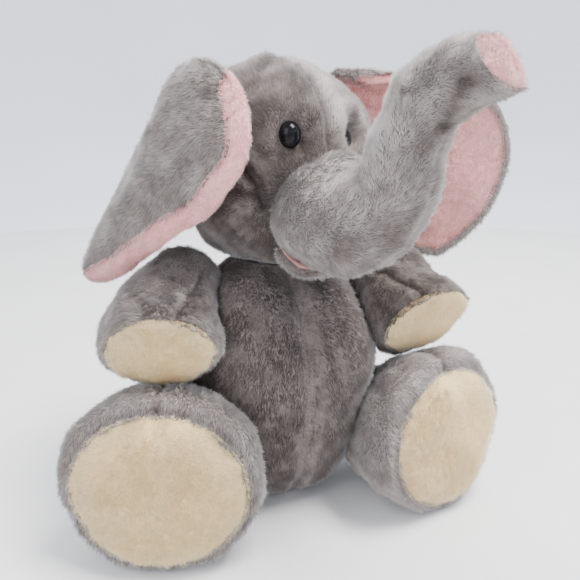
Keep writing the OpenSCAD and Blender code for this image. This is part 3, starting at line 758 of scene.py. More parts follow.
    skin_comb = brushed(*(axis + np.array([0, 0, -0.55])))
    grey_keep = (ring >= 4) & (ring <= rim)
    Vs, Fs = subset(VM, FM, grey_keep)
    pile(tag + "_pile", Vs, Fs, mat_grey, seed + 20, density, end_len, 0.38, 0.85, skin_comb, body,
         "grey_plush", skin_fac, skin_tone)

    def pad_comb(P, n):
        return (P - centre) * 0.02 + np.array([0.15, 0, -0.5])

    def pad_fac(P):
        k = 0.75 + 0.25 * smooth(rim_distance(P), 0.2, 4)
        return k * (0.45 + 0.55 * smooth(P[:, 2], 0.4, 6))

    def pad_tone(P):
        return 0.25 * bell(rim_distance(P), 5) - 0.12 * smooth(rim_distance(P), 8, 20)

    pile(tag + "_" + pad_name + "_pile", m(outer), turned(Fo) if mirrored else Fo, mat_cream, seed + 30,
         5.2, 2.1, 0.34, 0.6, pad_comb, body, "cream_plush", pad_fac, pad_tone, 0.5)


# ------------------------------------------------------------------ sewing thread rings
def stitches(name, centre, axis, radius, count, node, body, thick=0.6, zig=0.9):
    """Ladder stitches: a ring of short slanted loops of thread."""
    axis = unit(axis)
    s = unit(np.cross(axis, [0.3, 0.9, 0.1]))
    n = np.cross(axis, s)
    V, F = [], []
    for k in range(count):
        a0 = 2 * math.pi * k / count
        pts = []
        for q in range(9):
            f = q / 8
            a = a0 + 2 * math.pi / count * (f * 0.95)
            rr = radius + 0.15 * math.sin(math.pi * f)
            pts.append(centre + (s * math.cos(a) + n * math.sin(a)) * rr
                       + axis * (zig * (f - 0.5) * (1 if k % 2 else -1)))
        pts = np.array(pts)
        start = len(V)
        for q in range(9):
            d = unit(pts[min(q + 1, 8)] - pts[max(q - 1, 0)])
            u = unit(np.cross(d, axis + 0.01))
            w = np.cross(d, u)
            rad = thick / 2 * (0.55 + 0.45 * math.sin(math.pi * (0.12 + 0.76 * q / 8)))
            for h in range(6):
                b = 2 * math.pi * h / 6
                V.append(pts[q] + (u * math.cos(b) + w * math.sin(b)) * rad)
        for q in range(8):
            for h in range(6):
                a, b = start + q * 6 + h, start + q * 6 + (h + 1) % 6
                F.append((a, b, b + 6, a + 6))
        F.append(tuple(start + h for h in range(5, -1, -1)))
        F.append(tuple(start + 48 + h for h in range(6)))
    ob = make(name, np.array(V), F, mat_thread)
    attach(ob, body)
    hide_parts(node)
    return ob


# ------------------------------------------------------------------ head
TRUNK_C = np.array([0.0, -52.0, -22.0])
TRUNK_R = 26.5
EYE_AIM = unit([18.0, -46.0, 15.0])
EYE_WIDE, EYE_HIGH, EYE_DOME = 0.86, 1.06, 0.80


def ico_sphere(levels):
    bm = bmesh.new()
    bmesh.ops.create_icosphere(bm, subdivisions=levels, radius=1.0)
    V = np.array([v.co[:] for v in bm.verts])
    F = [tuple(v.index for v in f.verts) for f in bm.faces]
    bm.free()
    return unit(V), F


def polyline_distance(P, L):
    L = np.asarray(L, float)
    best = np.full(len(P), 1e9)
    for a, b in zip(L[:-1], L[1:]):
        ab = b - a
        t = np.clip(((P - a) @ ab) / (ab @ ab), 0, 1)
        best = np.minimum(best, np.linalg.norm(P - a - t[:, None] * ab, axis=1))
    return best


CHEEK_R = [[-39.5, -24.5, 12.0], [-37.0, -34.0, 2.0], [-32.5, -41.0, -8.0], [-30.0, -41.0, -17.0]]
CHEEK_R2 = [[-44.0, -23.0, -3.0], [-39.0, -33.0, -8.0], [-34.0, -38.0, -12.0]]


def head_shape(D):
    """Head surface for directions D, in the head's own frame."""
    P = D * HEAD_R
    r = np.full(len(D), HEAD_R)
    for sgn in (-1, 1):
        aim = EYE_AIM * np.array([sgn, 1, 1])
        ang = np.linalg.norm(D - aim, axis=1) * HEAD_R
        deep = 3.2 if sgn < 0 else 5.6
        r -= deep * bell(ang, 7.5)
        r += (1.1 if sgn < 0 else 2.2) * bell(ang - 13.0, 4.5) * smooth(D[:, 2], 0.1, 0.5)
        inner = aim + np.array([-0.12 * sgn, 0.0, -0.10])
        r -= 1.3 * bell(np.linalg.norm(D - unit(inner), axis=1) * HEAD_R, 5)
        for line, depth, wide in ((CHEEK_R, 3.6, 2.8), (CHEEK_R2, 2.4, 2.2)):
            L = np.array(line) * np.array([-sgn, 1, 1])
            L = unit(L) * HEAD_R
            dd = polyline_distance(P, L)
            r -= depth * bell(dd, wide)
            r += depth * 0.35 * bell(dd - 5.0, 3.0)
        cheek = unit([sgn * 34.0, -26.0, -26.0])
        r += 1.6 * bell(np.linalg.norm(D - cheek, axis=1) * HEAD_R, 17)
        jowl = unit([sgn * 0.65, 0.16, -0.744])
        r += 3.4 * bell(np.linalg.norm(D - jowl, axis=1) * HEAD_R, 12)
    seam = np.abs(P[:, 0])
    r -= 2.6 * bell(seam, 2.6) * (0.55 + 0.45 * smooth(D[:, 2], -0.3, 0.2))
    r += 0.9 * bell(seam - 7, 4.5)
    wob = Noise(41, 46.0, parts=1)(P)[:, 0] * 0.7 + Noise(42, 17.0, parts=1)(P)[:, 0] * 0.3
    r += wob - INSET
    return r


def build_head():
    D, F = ico_sphere(7)
    r = head_shape(D)
    P = D * r[:, None]
    P = out_of(P, TRUNK_C, TRUNK_R - 0.6)
    V = head_place(P)
    skin("head_skin", V, F, mat_grey_back, "grey_plush", ["head_left", "head_right", "head_stuffing"],
         "head", 0.95)

    def fac(Q):
        L = head_local(Q)
        k = np.ones(len(Q))
        d = unit(L)
        for sgn in (-1, 1):
            aim = EYE_AIM * np.array([sgn, 1, 1])
            ang = np.linalg.norm(d - aim, axis=1) * HEAD_R
            hole = 4.9 if sgn < 0 else 2.4
            k *= smooth(ang, hole, hole + 1.1) * (0.38 + 0.62 * smooth(ang, 5.5, 13 if sgn < 0 else 8))
        k *= 0.5 + 0.5 * smooth(np.linalg.norm(L - TRUNK_C, axis=1), TRUNK_R - 0.2, TRUNK_R + 2)
        k *= 0.3 + 0.7 * smooth(np.abs(L[:, 0]), 0.3, 4.2)
        k *= 0.55 + 0.45 * smooth(polyline_distance(L, unit(np.array(CHEEK_R)) * HEAD_R), 0.5, 5)
        k *= smooth(Q[:, 2], 131.0, 137.0)
        return k

    def comb(Q, n):
        L = head_local(Q)
        v = L - TRUNK_C
        v = unit(v) * np.array([1, 1, 0.9])
        v[:, 0] += np.sign(L[:, 0]) * bell(L[:, 0], 8) * 0.7
        v = v + np.array([0, 0.5, 0.0])
        low = smooth(-L[:, 2], 5, 40)[:, None]
        v = v * (1 - low) + low * np.array([0, 0.5, -1.0])
        return turn_z(v, HEAD_TURN)

    # painted shade: darker along the centre seam, over one side of the face, round the root of the trunk, in
    # the eye sockets and along the cheek creases; a painted highlight on the upper front beside the seam
    def tone(Q):
        L = head_local(Q)
        k = -0.45 * bell(L[:, 0] + 1.5, 3) - 0.10
        k -= 0.26 * smooth(-L[:, 0], 1, 9) * smooth(-L[:, 1], -10, 20)
        ball = np.linalg.norm(L - TRUNK_C, axis=1) - TRUNK_R
        k -= 0.34 * bell(ball, 6)
        k += 0.32 * bell(L[:, 0] - 8, 7) * smooth(L[:, 2], 4, 22) * (L[:, 1] < 0)
        for sgn in (-1, 1):
            aim = EYE_AIM * np.array([sgn, 1, 1]) * HEAD_R
            k -= 0.42 * bell(np.linalg.norm(L - aim, axis=1), 9)
        for line in (CHEEK_R, CHEEK_R2):
            k -= 0.42 * bell(polyline_distance(L, unit(np.array(line)) * HEAD_R), 3.5)
        return k

    L = head_local(V)
    pile("head_pile_front", *subset(V, F, L[:, 1] < -18), mat_grey, 201, 4.6, 2.5, 0.33, 0.85, comb,
         "head", "grey_plush", fac, tone)
    pile("head_pile_middle", *subset(V, F, (L[:, 1] >= -19.5) & (L[:, 1] < 12)), mat_grey, 202, 3.6, 2.6,
         0.38, 0.85, comb, "head", "grey_plush", fac, tone)
    pile("head_pile_back", *subset(V, F, L[:, 1] >= 10.5), mat_grey, 203, 2.8, 2.7, 0.42, 0.85, comb,
         "head", "grey_plush", fac, tone)

def build_eye(name, side, radius, sunk):
    """A glossy oval dome on a short stem, sunk into its socket."""
    aim = EYE_AIM * np.array([side, 1, 1])
    s = unit(np.cross(aim, [0, 0, 1.0]))
    n = np.cross(aim, s)
    th = around(48)
    stem = [(0.30, -3.4), (0.62, -3.2), (0.9, -2.2), (1.0, -0.6)]
    dome = [(math.cos(a), EYE_DOME * math.sin(a) * radius) for a in np.radians(np.arange(6, 88, 7))]
    oval = np.outer(np.cos(th) * EYE_WIDE, s) + np.outer(np.sin(th) * EYE_HIGH, n)
    rows = [aim * (HEAD_R - sunk + rise) + oval * reach * radius for reach, rise in stem + dome]
    V, F = closed_tube(np.array(rows))
    ob = make("eye_" + name + "_dome", head_place(V), facing_out(V, F), mat_eye)
    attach(ob, "head")
    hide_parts("eye_" + name)


# ------------------------------------------------------------------ trunk
trunk_path = [[0, -52, -22, 26.5, 26.5], [1, -60, -23, 26, 25.4], [4, -72, -20.5, 23.8, 22.6],
              [7, -81, -13, 21, 20], [8.5, -86, -4, 18.0, 18.4], [9.6, -88.5, 7, 16.6, 17.2],
              [10.6, -91.0, 17, 16.2, 16.8], [11.8, -94.5, 25.5, 16.0, 15.6],
              [13.5, -100.5, 30.5, 15.6, 15.0], [15, -109, 33.5, 14.8, 14.4], [17, -118, 36, 13.8, 13.4],
              [19, -126, 38.5, 12.25, 12.25]]
FOLD_LINE = [[12.5, -107.5, 15.4], [10.9, -108, 16.1], [9.3, -111.3, 19.6], [7.2, -114.1, 22.2],
             [6.1, -116.4, 24.5], [5, -119.4, 28.3], [4.6, -121, 31]]
# centre and radius along the upright part, and along the round muzzle
RISER = np.array([[8.6, -84, -14, 17.2], [8.8, -86.5, -4, 15.4], [9.6, -88.5, 7, 14.9],
                  [10.6, -91.0, 17, 14.7], [12, -95, 26, 14.8], [15, -104, 33, 14.6], [20, -128, 40, 13.0]])
ROOT = np.array([[0, -50, -22, 26.4], [1, -60, -23, 25.0], [4, -70, -21, 22.0], [7, -79, -17.5, 16.5]])
NOTCH = [[-5, -77, -7], [0, -77, -2], [8, -76, 0], [16, -76, -1], [24, -75, -4]]


def chain_distance(P, C):
    """How far points are outside a chain of cones."""
    best = np.full(len(P), 1e9)
    for a, b in zip(C[:-1], C[1:]):
        ab = b[:3] - a[:3]
        t = np.clip(((P - a[:3]) @ ab) / (ab @ ab), 0, 1)
        radius = a[3] + t * (b[3] - a[3])
        best = np.minimum(best, np.linalg.norm(P - a[:3] - t[:, None] * ab, axis=1) - radius)
    return best


def tighten(V, N):
    """The inside of the bend drops to where the round muzzle meets the upright trunk."""
    zone = (smooth(V[:, 2], -30, -14) * smooth(34 - V[:, 2], 0, 8) * smooth(V[:, 1], -97, -84))[:, None]
    W = V.copy()
    for _ in range(24):
        a, b = chain_distance(W, ROOT), chain_distance(W, RISER)
        k = 1.6
        h = np.clip(0.5 + 0.5 * (b - a) / k, 0, 1)
        d = b * (1 - h) + a * h - k * h * (1 - h)
        W = W - N * np.clip(d, 0, 1.0)[:, None] * 0.7
    move = W - V
    n = np.linalg.norm(move, axis=1, keepdims=True)
    return V + move * np.minimum(1, 14.0 / np.maximum(n, 1e-9)) * zone


def build_trunk():
    turns = 84
    G, info = limb_grid(TRUNK_C, trunk_path, TRUNK_R, [1, 0, 0], turns, 14, 84)
    rim = len(G) - 1
    steps = np.array([0.97, 0.92, 0.84, 0.74, 0.62, 0.48, 0.33, 0.16])
    C = end_cap(info[-1], [1, 0, 0], turns, 5.0, steps)
    A = np.concatenate([G, C])
    d_end = info[-1][1]
    up = unit(np.array([-0.25, 0, 1.0]) - d_end * np.dot([-0.25, 0, 1.0], d_end))
    for i in range(len(A)):
        k = smooth(i, rim - 13, rim)
        A[i] -= d_end * (0.38 * k * ((A[i] - A[i].mean(0)) @ up))[:, None]
    V, F = closed_tube(A)
    ring = ring_index(len(A), turns)
    N = normals_of(V, tris_of(F))
    # two shallow creases over the bend, then the seam below and the unevenness of the plush
    depth = -1.0 * bell((V - np.array([13, -96.0, 24.0])) @ unit([0.0, -0.62, 0.78]), 2.0) \
        * smooth(-(V[:, 1] + 97), -3, 8)
    depth += -0.8 * bell((V - np.array([13, -90.0, 20.0])) @ unit([0.0, -0.35, 0.93]), 2.2) \
        * smooth(V[:, 1], -92, -80)
    wob = Noise(62, 30.0, parts=1)(V)[:, 0] * 0.7 + Noise(63, 11.0, parts=1)(V)[:, 0] * 0.3
    seamd = np.abs(V[:, 0] - np.interp(V[:, 1], [-126, -94, -81, -60], [19, 12.5, 7, 1]))
    under = V[:, 1] < np.interp(V[:, 2], [-60, -20, 10, 30], [-60, -95, -104, -118])
    depth += groove(seamd, 0.8, 2.0) * under
    depth += (wob - INSET) * smooth(ring, 10, 22)
    u = unit(V - TRUNK_C)
    for sgn in (-1, 1):
        depth -= 4.4 * bell(np.linalg.norm(u - unit([0.62 * sgn, 0.0, -0.78]), axis=1), 0.48) \
            * smooth(V[:, 1], -78, -66)
    depth -= 2.4 * smooth(V[:, 2], -4, 8) * smooth(36 - V[:, 2], 0, 10) * np.maximum(0, -N[:, 0])
    V = V + N * depth[:, None]
    V = tighten(V, N)
    V = V - N * (1.3 * bell(polyline_distance(V, FOLD_LINE), 2.2))[:, None]
    crown = bell(np.linalg.norm(u - unit([0.28, -0.10, 0.95]), axis=1), 0.55) * smooth(V[:, 1], -80, -70)
    V = V + N * (3.2 * crown)[:, None]
    crease = polyline_distance(V, NOTCH)
    V = V - N * (2.6 * bell(crease, 2.4))[:, None]
    # the rows crowd together under the bend: even them out there
    rows = V[:len(A) * turns].reshape(len(A), turns, 3)
    for _ in range(40):
        k = 0.5 * bell(np.linalg.norm(rows - np.array([14, -106, 15.5]), axis=2), 9)[..., None]
        mean = rows.copy()
        mean[1:-1] = (rows[:-2] + rows[2:]) / 2
        rows = rows + (mean - rows) * k
    V[:len(A) * turns] = rows.reshape(-1, 3)
    HV = head_place(V)
    lid = HV.copy()
    NH = turn_z(N, HEAD_TURN)
    sunk = ring > rim
    lid[sunk] -= NH[sunk] * 1.6
    tip_axis = turn_z(info[-1][1], HEAD_TURN)
    a = head_place(np.array([11.8, -90.0, 17.0])) * MM
    b = head_place(np.array([13.6, -101.0, 32.0])) * MM
    ob = skin("trunk_skin", lid, F, mat_grey_back, "grey_plush",
              ["trunk_root_left", "trunk_root_right", "trunk_root_stuffing", "trunk_tip_left",
               "trunk_tip_right", "trunk_tip_stuffing"], None, 0.9)
    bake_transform(ob)

    def comb(P, n):
        L = head_local(P)
        v = np.zeros_like(L)
        path = np.array([i[0] for i in info])
        dirs = np.array([i[1] for i in info])
        for k in range(0, len(L), 20000):
            q = L[k:k + 20000]
            near = ((q[:, None, :] - path[None]) ** 2).sum(2).argmin(1)
            v[k:k + 20000] = dirs[near]
        return turn_z(v, HEAD_TURN) + np.array([0.0, 0.0, -0.25])

    def fac(P):
        L = head_local(P)
        return smooth(np.linalg.norm(L, axis=1), HEAD_R - 4.0, HEAD_R - 1.0)

    # painted shade darkens the fold and the notch crease; painted light makes the upper part and one side of
    # the root lighter and the other side darker
    def tone(P):
        L = head_local(P)
        fold = polyline_distance(L, FOLD_LINE)
        k = -0.9 * bell(fold, 3.0) - 0.22 * bell(fold, 8.0)
        k -= 0.6 * bell(polyline_distance(L, NOTCH), 3.0)
        k += 0.12 + 0.16 * smooth(-L[:, 0], 4, 20) * bell(L[:, 2] + 8, 16) - 0.10 * smooth(L[:, 0], 5, 25)
        k += 0.20 * smooth(L[:, 2], -8, 12)
        return k

    grey = (ring >= 8) & (ring <= rim)
    for part, mine, seed, density in (("root", ring < 62, 301, 6.2), ("tip", ring >= 61, 302, 6.0)):
        p = pile("trunk_pile_" + part, *subset(HV, F, grey & mine), mat_grey, seed, density, 2.4, 0.31, 0.9,
                 comb, None, "grey_plush", fac, tone)
        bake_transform(p)
    keep = ring >= rim
    Vo, Fo = subset(HV, F, keep)
    No = NH[keep]
    dist = np.linalg.norm(Vo - Vo[:turns].mean(0), axis=1)
    lift = smooth(12.5 - dist, 0, 3)
    outer = Vo + No * (0.5 * lift)[:, None]
    under_p = Vo - No * (1.0 * lift + 0.02)[:, None]
    skin("trunk_tip_end_skin", *two_sided(outer, under_p, Fo), mat_pink_back, "pink_plush",
         ["trunk_tip_pad"], "trunk_tip", 0.8)
    pile("trunk_tip_end_pile", outer, Fo, mat_pink, 303, 9.0, 1.3, 0.28, 0.25, brushed(0, 0, -1),
         "trunk_tip", "pink_plush", None, lambda P: np.full(len(P), 0.15), 0.1)


# ------------------------------------------------------------------ soft flaps
def flap_surfaces(mid, facing, puff_t, edge_t, rows, cols):
    """Two skins of a soft flap: mid and facing are (rows, cols, 3)."""
    i = np.linspace(0, 1, rows)[:, None]
    j = np.linspace(0, 1, cols)[None, :]
    a = 1 - np.abs(2 * j - 1) ** 2.6
    b = 1 - np.abs(2 * i - 1) ** 4
    puff = np.sqrt(np.maximum(0, a * b)) * puff_t
    edge = edge_t * np.sqrt(np.maximum(0, (1 - np.abs(2 * j - 1) ** 12) * (1 - np.abs(2 * i - 1) ** 14)))
    t = (puff + edge)[..., None]
    return mid - facing * t, mid + facing * t


def flap_solid(back, front):
    rows, cols = back.shape[:2]
    V = np.concatenate([back.reshape(-1, 3), front.reshape(-1, 3)])
    n = rows * cols
    F = []
    for i in range(rows - 1):
        for j in range(cols - 1):
            a = i * cols + j
            F.append((a, a + 1, a + 1 + cols, a + cols))
            F.append((a + n, a + cols + n, a + 1 + cols + n, a + 1 + n))
    edge = [(0, j) for j in range(cols - 1)] + [(i, cols - 1) for i in range(rows - 1)]
    edge += [(rows - 1, j) for j in range(cols - 1, 0, -1)] + [(i, 0) for i in range(rows - 1, 0, -1)]
    ids = [i * cols + j for i, j in edge]
    for k in range(len(ids)):
        a, b = ids[k], ids[(k + 1) % len(ids)]
        F.append((b, a, a + n, b + n))
    return V, F


def flap_index(rows, cols):
    """The row and column of each vertex of a flap, and whether it is on the rim."""
    I = np.tile(np.repeat(np.arange(rows), cols), 2)
    J = np.tile(np.tile(np.arange(cols), rows), 2)
    return I, J, (I == 0) | (I == rows - 1) | (J == 0) | (J == cols - 1)


# each station: a point on the front edge and a point on the back edge, in the head's own frame
hanging_ear = [[34, 2, 48, 37, 15, 45], [36, -27, 38, 47, 24, 31], [38, -45, 22, 54, 31, 14],
               [43, -50, 4, 62, 37, -4], [51, -42, -11, 70, 40, -20], [66, -14, -33, 79, 42, -37],
               [80, 16, -51, 86, 41, -52], [86, 31, -58, 88, 38, -58]]
open_ear = [[52, -4, 42, 38, 11, 46], [70, -14, 44, 43, 12, 40], [100, -26, 43, 47, 14, 28],
            [123, -34, 33, 52, 15, 12], [135, -38, 6, 57, 15, -6], [129, -34, -24, 64, 13, -24],
            [117, -25, -45, 75, 8, -40], [105, -16, -56, 92, -5, -54]]


def ear_grid(stations, bulge, rows, cols):
    mids, facings = [], []
    for i in range(rows):
        t = i / (rows - 1)
        s = curve(stations, t)
        a, b = curve(stations, max(t - .05, 0)), curve(stations, min(t + .05, 1))
        fore, aft = s[:3], s[3:]
        v = unit(fore - aft)
        run = b[:3] + b[3:] - a[:3] - a[3:]
        w = np.linalg.norm(fore - aft) / 2
        f = unit(np.cross(run, v))
        m = (fore + aft) / 2
        bb = min(bulge, w * 0.24)
        vv = np.linspace(-1, 1, cols)
        mids.append(m + np.outer(vv * w, v) - np.outer((1 - vv ** 2) * bb, f))
        facings.append(np.broadcast_to(f, (cols, 3)))
    return np.array(mids), np.array(facings)


def build_ear(tag, stations, bulge, mirrored, body, seed, wrap, inset):
    rows, cols = 84, 66
    mid, facing = ear_grid(stations, bulge, rows, cols)
    wob = Noise(seed, 30.0, parts=1)(mid.reshape(-1, 3))[:, 0].reshape(rows, cols, 1)
    ii = np.linspace(0, 1, rows)[:, None, None]
    jj = np.linspace(0, 1, cols)[None, :, None]
    inner = smooth(ii, 0, 0.3)
    mid = mid + facing * wob * 0.9 * inner
    # gathers where the ear is sewn on
    mid = mid + facing * (1 - smooth(ii, 0, 0.3)) * np.sin(jj * math.pi * 5) * 0.8
    thin = 1.0 if wrap > 0 else 0.7
    back, front = flap_surfaces(mid, facing, 3.1 * thin, 1.9 * thin, rows, cols)
    V, F = flap_solid(back, front)
    n = rows * cols
    I, J, rim = flap_index(rows, cols)
    V = relax(V, F, rim * 1.0 + (I < 5), 1.2, 1.6, seed, 0.03)
    m = (lambda P: head_place(flip(P))) if mirrored else head_place
    W = m(V)
    F = facing_out(W, F)
    skin(tag + "_back_skin", W, F, mat_grey_back, "grey_plush", [tag + "_back", tag + "_wadding"], body, 0.6)
    N = normals_of(W, tris_of(F))
    # pink lining: inset on the inner side, or rolled over the front edge
    is_front = np.arange(2 * n) >= n
    front_edge = J == cols - 1
    to_front = distance_to_points(W, W[front_edge])
    to_other = distance_to_points(W, W[rim & ~front_edge])
    if wrap > 0:
        roll = wrap * smooth(I / (rows - 1), 0.07, 0.24)
        pinkness = np.where(is_front, np.minimum(to_other - inset, to_front + roll),
                            np.minimum(roll - to_front, to_other - inset))
    else:
        top = 1 - smooth(I / (rows - 1), 0.26, 0.42)
        margin = inset * (0.3 + 0.7 * smooth(I / (rows - 1), 0.12, 0.4))
        pinkness = np.where(is_front, np.minimum(to_front + 4 * top, to_other) - margin,
                            3.6 * top - 0.6 - to_front)
    inside = pinkness > 0
    used = used_by(W, F, inside)
    Vl, Fl = subset(W, F, inside)
    Nl, El = N[used], pinkness[used]
    lift = smooth(El, 0, 4)
    outer = Vl + Nl * (0.25 + 0.5 * lift)[:, None]
    under = Vl - Nl * 0.35
    skin(tag + "_lining_skin", *two_sided(outer, under, Fl), mat_pink_back, "pink_plush",
         [tag + "_lining"], body, 0.5)
    hang = brushed(0, 0.25, -1)

    def back_fac(P):
        L = head_local(P)
        return smooth(np.linalg.norm(L, axis=1), HEAD_R - 1, HEAD_R + 3)

    # painted shade: the open ear's lining darker deep in its cup
    def lining_tone(P):
        if wrap > 0:
            return np.full(len(P), 0.1)
        L = head_local(P)
        return 0.12 - 0.55 * smooth(124 - L[:, 0], 2, 24) * smooth(L[:, 2], -60, -30)

    def back_tone(P):
        if wrap > 0:
            return np.zeros(len(P))
        return np.full(len(P), 0.28)

    outside = pinkness < 3.0
    Vb, Fb = subset(W, F, outside)
    grey_mask = (0.6 - pinkness)[used_by(W, F, outside)]
    pile(tag + "_pile", Vb, Fb, mat_grey, seed + 20, 3.6, 2.6, 0.38, 0.85, hang, body, "grey_plush", back_fac,
         back_tone, mask=grey_mask)
    pink_on = pinkness > -3.0
    Vn, Fn = subset(W, F, pink_on)
    on = used_by(W, F, pink_on)
    pile(tag + "_lining_pile", Vn + N[on] * 0.5, Fn, mat_pink, seed + 30, 4.8, 1.5, 0.33, 0.55, hang, body,
         "pink_plush", None, lining_tone, mask=(pinkness + 0.4)[on])


# ------------------------------------------------------------------ lower lip
def build_jaw():
    rows, cols = 26, 40
    i = np.linspace(0, 1, rows)[:, None]
    j = np.linspace(0, 1, cols)[None, :]
    w = 1 - 0.45 * i ** 3
    a = np.radians(43 + (16 - 43) * i) * np.ones_like(j)
    b = np.radians(46 * w * (2 * j - 1))
    D = np.stack([np.sin(b), np.sin(a) * np.cos(b), -np.cos(a) * np.cos(b)], 2)
    mid = TRUNK_C + D * 28.6
    top, low = flap_surfaces(mid, D, 1.5, 1.5, rows, cols)
    V, F = flap_solid(top, low)
    W = head_place(V)
    F = facing_out(W, F)
    skin("jaw_lip_skin", W, F, mat_grey_back, "grey_plush", ["jaw_skin", "jaw_stuffing"], "jaw", 0.8)
    n = rows * cols
    I, J, rim = flap_index(rows, cols)
    edge = distance_to_points(W, W[rim])
    N = normals_of(W, tris_of(F))
    on_top = np.arange(2 * n) < n
    inside = on_top & (edge > 1.0)
    used = used_by(W, F, inside)
    Vl, Fl = subset(W, F, inside)
    outer = Vl + N[used] * 0.5
    under = Vl - N[used] * 0.35
    skin("jaw_mouth_skin", *two_sided(outer, under, Fl), mat_pink_back, "pink_plush",
         ["jaw_lining"], "jaw", 0.5)
    comb = brushed(*turn_z([0.0, -1.0, -0.2], HEAD_TURN))
    Vb, Fb = subset(W, F, (~on_top) | (edge < 1.8))
    pile("jaw_pile", Vb, Fb, mat_grey, 501, 4.0, 2.6, 0.38, 0.8, comb, "jaw", "grey_plush")
    pile("jaw_mouth_pile", outer, Fl, mat_pink, 502, 4.5, 1.2, 0.3, 0.6, comb, "jaw", "pink_plush")


# ------------------------------------------------------------------ tail
tail_stations = [[0, 51, 26, 6, 6], [1, 58, 23, 5.6, 5.6], [3, 66, 18, 5.2, 5.2], [5, 73, 14, 5.8, 5.8],
                 [6, 79, 11, 7, 7]]


def build_tail():
    turns = 36
    G, info = limb_grid([0, 51, 26], tail_stations, 6.0, [1, 0, 0], turns, 8, 24)
    rim = len(G) - 1
    C = end_cap(info[-1], [1, 0, 0], turns, 8.0, np.array([0.95, 0.86, 0.72, 0.55, 0.36, 0.18]))
    A = np.concatenate([G, C])
    V, F = closed_tube(A)
    ring = ring_index(len(A), turns)
    N = normals_of(V, tris_of(F))
    V = V - N * 0.5 + N * Noise(71, 9.0, parts=1)(V) * 0.3
    skin("tail_skin", V, F, mat_grey_back, "grey_plush", ["tail_left", "tail_right", "tail_stuffing"],
         "tail", 0.8)
    comb = brushed(0.1, 0.8, -0.5)
    fac = lambda P: smooth(np.linalg.norm(P - np.array([0, 51.0, 26.0]), axis=1), 5.5, 9)
    pile("tail_pile", *subset(V, F, ring <= rim - 3), mat_grey, 601, 4.0, 2.6, 0.38, 0.9, comb, "tail",
         "grey_plush", fac)
    Vt, Ft = subset(V, F, ring >= rim - 6)
    Nt = normals_of(Vt, tris_of(Ft))
    ob = make("tail_tuft_skin", *two_sided(Vt + Nt * 0.4, Vt - Nt * 0.2, Ft), mat_grey_back)
    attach(ob, "tail")
    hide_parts("tail_end_tuft")
    pile("tail_tuft_pile", Vt, Ft, mat_tuft, 602, 6.0, 6.5, 0.5, 1.6, comb, "tail", "tuft_plush")


# ------------------------------------------------------------------ everything
build_torso()
build_head()
build_eye("left", 1, 5.0, 8.4)
build_eye("right", -1, 5.7, 1.9)
build_trunk()
build_jaw()
build_ear("ear_right", hanging_ear, 9.5, True, "ear_right", 401, 9.0, 2.0)
build_ear("ear_left", open_ear, 6.0, False, "ear_left", 451, 0.0, 4.0)
build_tail()
for nm, mir, sd in (("left", False, 701), ("right", True, 751)):
    build_limb("arm_" + nm, SHOULDER, arm_stations, 18.0, [1, 0, 0], mir, 6.0,
               ["arm_" + nm + "_outer", "arm_" + nm + "_inner", "arm_" + nm + "_stuffing"],
               "arm_" + nm + "_pad", "paw", "arm_" + nm, sd, seams=(math.pi * 0.62,), density=4.2, tilt=23.0,
               swell=2.6 if mir else 4.6, painted_light_shift=-0.02 if mir else -0.34)
    build_limb("leg_" + nm, HIP, leg_stations, 26.0, [math.cos(math.radians(SPLAY)),
               math.sin(math.radians(SPLAY)), 0], mir, 5.0,
               ["leg_" + nm + "_outer", "leg_" + nm + "_inner", "leg_" + nm + "_stuffing"],
               "leg_" + nm + "_sole", "foot", "leg_" + nm, sd + 25, turns=112, tube_rows=44,
               seams=(math.pi / 2,), density=3.4,
               pad_dart=(math.pi / 2, 6), crown=4.6 if mir else 3.4, painted_light_shift=0.08)


def seam_ring(r, deg):
    """Where a ring of stitches sits on a ball: its depth along the axis and its radius."""
    return r * math.cos(math.radians(deg)), r * math.sin(math.radians(deg))


depth, radius = seam_ring(51.8, 30)
stitches("neck_stitches", HEAD_C - np.array([0, 0, depth]), [0, 0, 1], radius, 46, "neck_thread", "neck")
for nm, place in (("left", np.asarray), ("right", flip)):
    aim = unit(np.array(arm_stations[1][:3]) - SHOULDER)
    depth, radius = seam_ring(17.4, 50)
    stitches("arm_" + nm + "_stitches", place(SHOULDER - aim * depth), place(aim), radius, 30,
             "arm_" + nm + "_thread", "arm_" + nm + "_seam")
    depth, radius = seam_ring(25.4, 52)
    stitches("leg_" + nm + "_stitches", place(HIP - LEG_D * depth), place(LEG_D), radius, 42,
             "leg_" + nm + "_thread", "leg_" + nm)
for nm in ("left", "right"):
    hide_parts("eye_washer_" + nm)
bpy.data.materials.remove(blank)

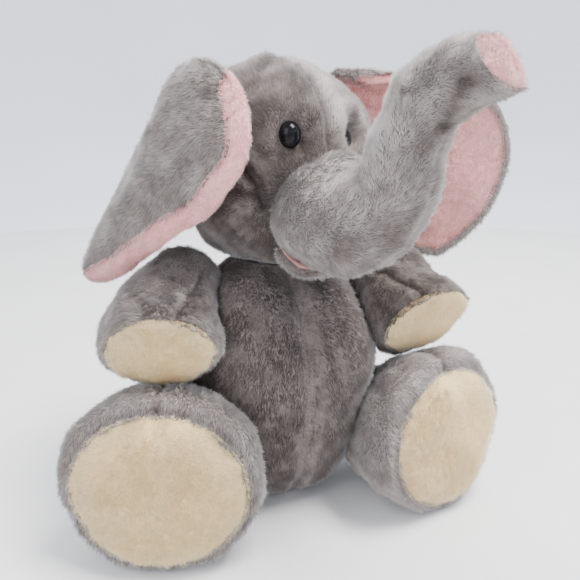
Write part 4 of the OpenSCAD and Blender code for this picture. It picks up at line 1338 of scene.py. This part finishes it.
# ------------------------------------------------------------------ floor, backdrop and light
mat_floor, nt_f, b_f = new_material("pale_floor")
n_f = noise_node(nt_f, 14, 4)
mottle(nt_f, b_f, "Base Color", n_f, (0.3, (0.88, 0.87, 0.86)), (0.7, (0.93, 0.92, 0.91)))
b_f.inputs["Roughness"].default_value = 0.9
corners = np.array([(-4, -4, 0), (4, -4, 0), (4, 4, 0), (-4, 4, 0)])
make("floor", corners / MM, [(0, 1, 2, 3)], mat_floor)

mat_wall, nt_w, b_w = new_material("pale_wall")
n_w = noise_node(nt_w, 3, 2)
mottle(nt_w, b_w, "Base Color", n_w, (0.3, (0.80, 0.82, 0.86)), (0.7, (0.84, 0.86, 0.90)))
b_w.inputs["Roughness"].default_value = 1.0
b_w.inputs["Emission Color"].default_value = (0.80, 0.83, 0.90, 1)
b_w.inputs["Emission Strength"].default_value = 0.36
profile = [(1.0, -0.002)] + [(1.1 + 1.3 * math.sin(q), 1.3 - 1.3 * math.cos(q))
                             for q in np.linspace(0, math.pi / 2, 24)] + [(2.4, 4.0)]
WALL_TURNS = 96
sheet = [(r * math.cos(t), r * math.sin(t), z) for r, z in profile for t in around(WALL_TURNS)]
wall = make("wall", np.array(sheet) / MM, grid_faces(len(profile), WALL_TURNS), mat_wall)


def area(name, at, to, size, power, color=(1, 1, 1)):
    d = bpy.data.lights.new(name, "AREA")
    d.size = size
    d.energy = power
    d.color = color
    o = bpy.data.objects.new(name, d)
    scene.collection.objects.link(o)
    o.location = at
    o.rotation_euler = (Vector(to) - Vector(at)).to_track_quat("-Z", "Y").to_euler()
    return o


area("key", (0.38, -0.38, 1.34), (0, 0, 0.12), 0.6, 41.0, (1.0, 0.99, 0.97))
area("window", (-0.9, -0.6, 0.9), (0, 0, 0.12), 0.7, 7.0, (0.97, 0.985, 1.0))
area("fill", (1.0, -0.9, 0.6), (0, 0, 0.12), 1.1, 3.5, (0.94, 0.97, 1.0))
area("back", (0.5, 1.0, 1.1), (0, 0, 0.14), 0.9, 11.0, (0.96, 0.98, 1.0))
world = bpy.data.worlds.new("soft_room")
scene.world = world
world.use_nodes = True
bg = world.node_tree.nodes["Background"]
bg.inputs[0].default_value = (0.86, 0.89, 0.95, 1)
bg.inputs[1].default_value = 0.38
